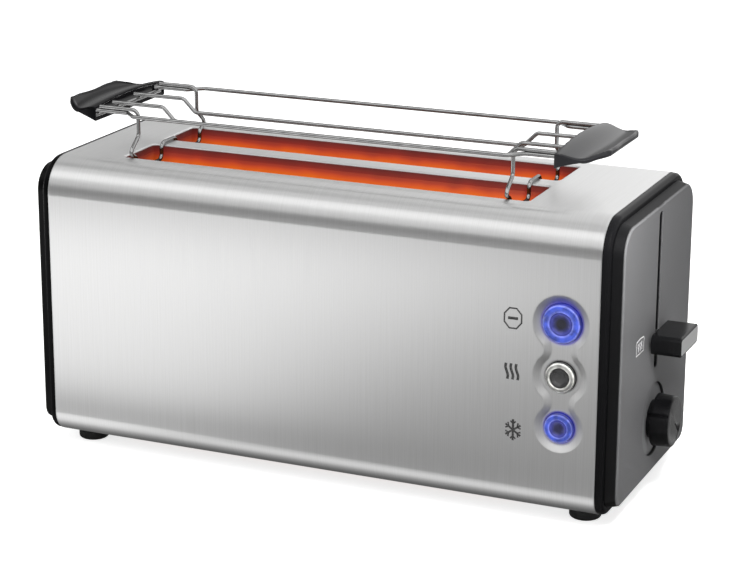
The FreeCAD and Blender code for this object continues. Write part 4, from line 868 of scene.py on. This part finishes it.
def panel_mark():
    """A slice with heat rising in it, beside the foot of the lever slot."""
    pale = ink("pale_ink", (0.42, 0.42, 0.42), (0.55, 0.55, 0.55))
    strokes = [stroke(SLICE_OUTLINE, 0.75, closed=True)] + three_waves(RISING_HEAT, 3.4, 1.1)
    place = (PANEL_X, MIDDLE_Y - TOAST_MARK_ASIDE * MM, TOAST_MARK_HEIGHT * MM)
    printed_mark("toast_mark", strokes, place, "side", pale)


sleeve_marks()
panel_mark()


# Studio. The levels are those that metal sees in the floor and the sky: along the floor from left
# to right, away from its middle line, in a painted shadow close to the object and far off, beside
# the object, and round the sky.
FLOOR_SIDEWAYS = [(0.0, 1.3), (0.33, 1.32), (0.48, 1.22), (0.56, 1.0), (0.64, 0.74), (0.72, 0.55),
                  (0.8, 0.47), (1.0, 0.45)]
# The low levels next to the middle line are a painted shadow under the object.
FLOOR_DEPTH = [(0.0, 0.12), (0.068, 0.14), (0.078, 0.42), (0.086, 0.8), (0.1, 0.9), (0.13, 0.8),
               (0.145, 0.7), (0.157, 0.75), (0.184, 0.88), (0.25, 0.93), (0.36, 1.0),
               (0.45, 1.08), (0.5, 1.26), (0.55, 1.55), (1.0, 1.55)]
# Its low start is the same painted shadow under the object.
FLOOR_EDGE = [(0.0, 0.12), (0.068, 0.14), (0.078, 0.42), (0.086, 0.85), (0.1, 0.88), (0.125, 0.0)]
FLOOR_SHADOW_AND_FAR = [(0.0, 0.0), (0.11, 0.0), (0.128, 0.8), (0.152, 0.8), (0.185, 0.1), (0.25, 0.0),
             (0.56, 0.0), (0.6, 0.36), (0.625, 0.7), (0.65, 0.9), (0.68, 1.0)]
FLOOR_SHADOW_AND_FAR_LEVEL = 0.33
FLOOR_BESIDE = [(0.0, 0.3), (0.1, 0.35), (0.25, 0.6), (0.4, 0.6), (0.55, 0.35), (1.0, 0.35)]
FLOOR_SHOWN = 0.72
SKY_TILT = [(0.0, 0.0), (0.2475, 0.0), (0.3, 0.033), (0.35, 0.072), (0.4425, 0.087), (0.515, 0.1),
            (0.6575, 0.133), (0.7125, 0.167), (1.0, 0.167)]
SKY_BANDS = [(0.0, 0.3), (0.092, 0.3), (0.108, 1.2), (0.365, 1.2), (0.38, 0.2), (0.42, 0.2),
             (0.45, 0.8), (1.0, 0.9)]
BACKDROP_BANDS = [(0.0, 1.3), (0.26, 1.3), (0.35, 0.5), (0.44, 0.45), (0.52, 0.58), (0.6, 0.38),
                  (0.72, 0.5), (1.0, 0.5)]
SKY_LIGHT = 0.5


def stage_floor():
    """A floor that shows as white, and that metal sees as a pale sweep shaded off to the right and
    far away, with a painted shadow under and beside the object."""
    bpy.ops.mesh.primitive_plane_add(size=14, location=(0, 0, 0))
    floor = bpy.context.object
    floor.name = "studio_floor"
    material, tree, shader = finish("studio_floor", Roughness=0.9, Specular_IOR_Level=0.0)
    path = add_node(tree, "ShaderNodeLightPath")
    x, y, _ = axes(tree, object_place(tree))
    depth = maths(tree, "ABSOLUTE", y)
    left = colour_ramp(tree, vary(tree, x, 0.0, 1.0, -0.45, 0.15), FLOOR_SIDEWAYS)
    # Painted shadow under and beside the object comes in through these depth ramps.
    sheen = maths(tree, "MULTIPLY", left, colour_ramp(tree, depth, FLOOR_DEPTH))
    sheen = maths(tree, "MAXIMUM", sheen, colour_ramp(tree, depth, FLOOR_EDGE))
    sheen = blend_value(tree, colour_ramp(tree, depth, FLOOR_SHADOW_AND_FAR), sheen, FLOOR_SHADOW_AND_FAR_LEVEL)
    beside = maths(tree, "MULTIPLY", vary(tree, x, 0.0, 1.0, 0.16, 0.24),
                   maths(tree, "GREATER_THAN", y, -0.05))
    sheen = blend_value(tree, beside, sheen, colour_ramp(tree, y, FLOOR_BESIDE))
    shown = maths(tree, "MULTIPLY", path.outputs["Is Camera Ray"], FLOOR_SHOWN)
    glow = blend_value(tree, path.outputs["Is Glossy Ray"], shown, sheen)
    base = blend_colour(tree, path.outputs["Is Glossy Ray"], (0.85, 0.85, 0.85), (0.0, 0.0, 0.0))
    tree.links.new(base, shader.inputs["Base Color"])
    shader.inputs["Emission Color"].default_value = (1.0, 1.0, 1.0, 1.0)
    tree.links.new(glow, shader.inputs["Emission Strength"])
    floor.data.materials.append(material)


def sky():
    """White to the camera, plain grey light on the object, and for reflections a front light, a
    dark roof and a pale backdrop."""
    world = bpy.data.worlds.new("studio")
    bpy.context.scene.world = world
    world.use_nodes = True
    tree = world.node_tree
    back = tree.nodes["Background"]
    path = add_node(tree, "ShaderNodeLightPath")
    x, y, z = axes(tree, add_node(tree, "ShaderNodeTexCoord").outputs["Generated"])
    angle = maths(tree, "ARCTAN2", z, maths(tree, "MULTIPLY", y, -1.0))
    sweep = vary(tree, maths(tree, "MULTIPLY", x, -1.0), 0.0, 1.0, 0.2, 0.6)
    turned = maths(tree, "SUBTRACT", maths(tree, "DIVIDE", angle, math.pi),
                   colour_ramp(tree, sweep, SKY_TILT))
    behind = maths(tree, "GREATER_THAN", y, 0.0)
    level = blend_value(tree, behind, 1.0, colour_ramp(tree, sweep, BACKDROP_BANDS))
    level = maths(tree, "MULTIPLY", level, colour_ramp(tree, turned, SKY_BANDS))
    level = blend_value(tree, path.outputs["Is Glossy Ray"], SKY_LIGHT, level)
    level = blend_value(tree, path.outputs["Is Camera Ray"], level, 1.0)
    back.inputs["Color"].default_value = (1.0, 1.0, 1.0, 1.0)
    tree.links.new(level, back.inputs["Strength"])


def softbox(name, place, aim, size, power):
    """A flat lamp turned to its aim; it doesn't show in reflections."""
    bpy.ops.object.light_add(type="AREA", location=place)
    lamp = bpy.context.object
    lamp.name = name
    lamp.data.shape = "RECTANGLE"
    lamp.data.size, lamp.data.size_y = size
    lamp.data.energy = power
    lamp.visible_glossy = False
    away = Vector(place) - Vector(aim)
    lamp.rotation_euler = away.to_track_quat("Z", "Y").to_euler()


def lights():
    softbox("overhead", (0.0, -0.3, 1.6), (0, 0, 0.1), (1.8, 1.2), 14)
    softbox("key_left", (-1.4, -1.3, 1.2), (0, 0, 0.1), (1.0, 1.0), 10)
    softbox("panel_fill", (0.26, -0.17, 0.3), (0.18, -0.03, 0.14), (0.1, 0.1), 2.6)


CAMERA_SPOT = Vector((0.54795, -1.2765, 0.5261))
AZIMUTH, ELEVATION, ROLL = math.radians(23.51), math.radians(16.59), math.radians(0.21)
LENS = 113.1


def camera():
    """The camera solved from the photograph, aimed by its azimuth and elevation."""
    back = Vector((math.sin(AZIMUTH) * math.cos(ELEVATION),
                   -math.cos(AZIMUTH) * math.cos(ELEVATION), math.sin(ELEVATION)))
    right = Vector((0, 0, 1)).cross(back).normalized()
    up = back.cross(right)
    turn = Matrix.Rotation(ROLL, 3, back)
    right, up = turn @ right, turn @ up
    bpy.ops.object.camera_add(location=CAMERA_SPOT)
    made = bpy.context.object
    made.data.lens = LENS
    made.data.sensor_width = 36.0
    made.rotation_euler = Matrix((right, up, back)).transposed().to_euler()
    bpy.context.scene.camera = made


stage_floor()
sky()
lights()
camera()
bpy.context.scene.view_settings.view_transform = "Standard"
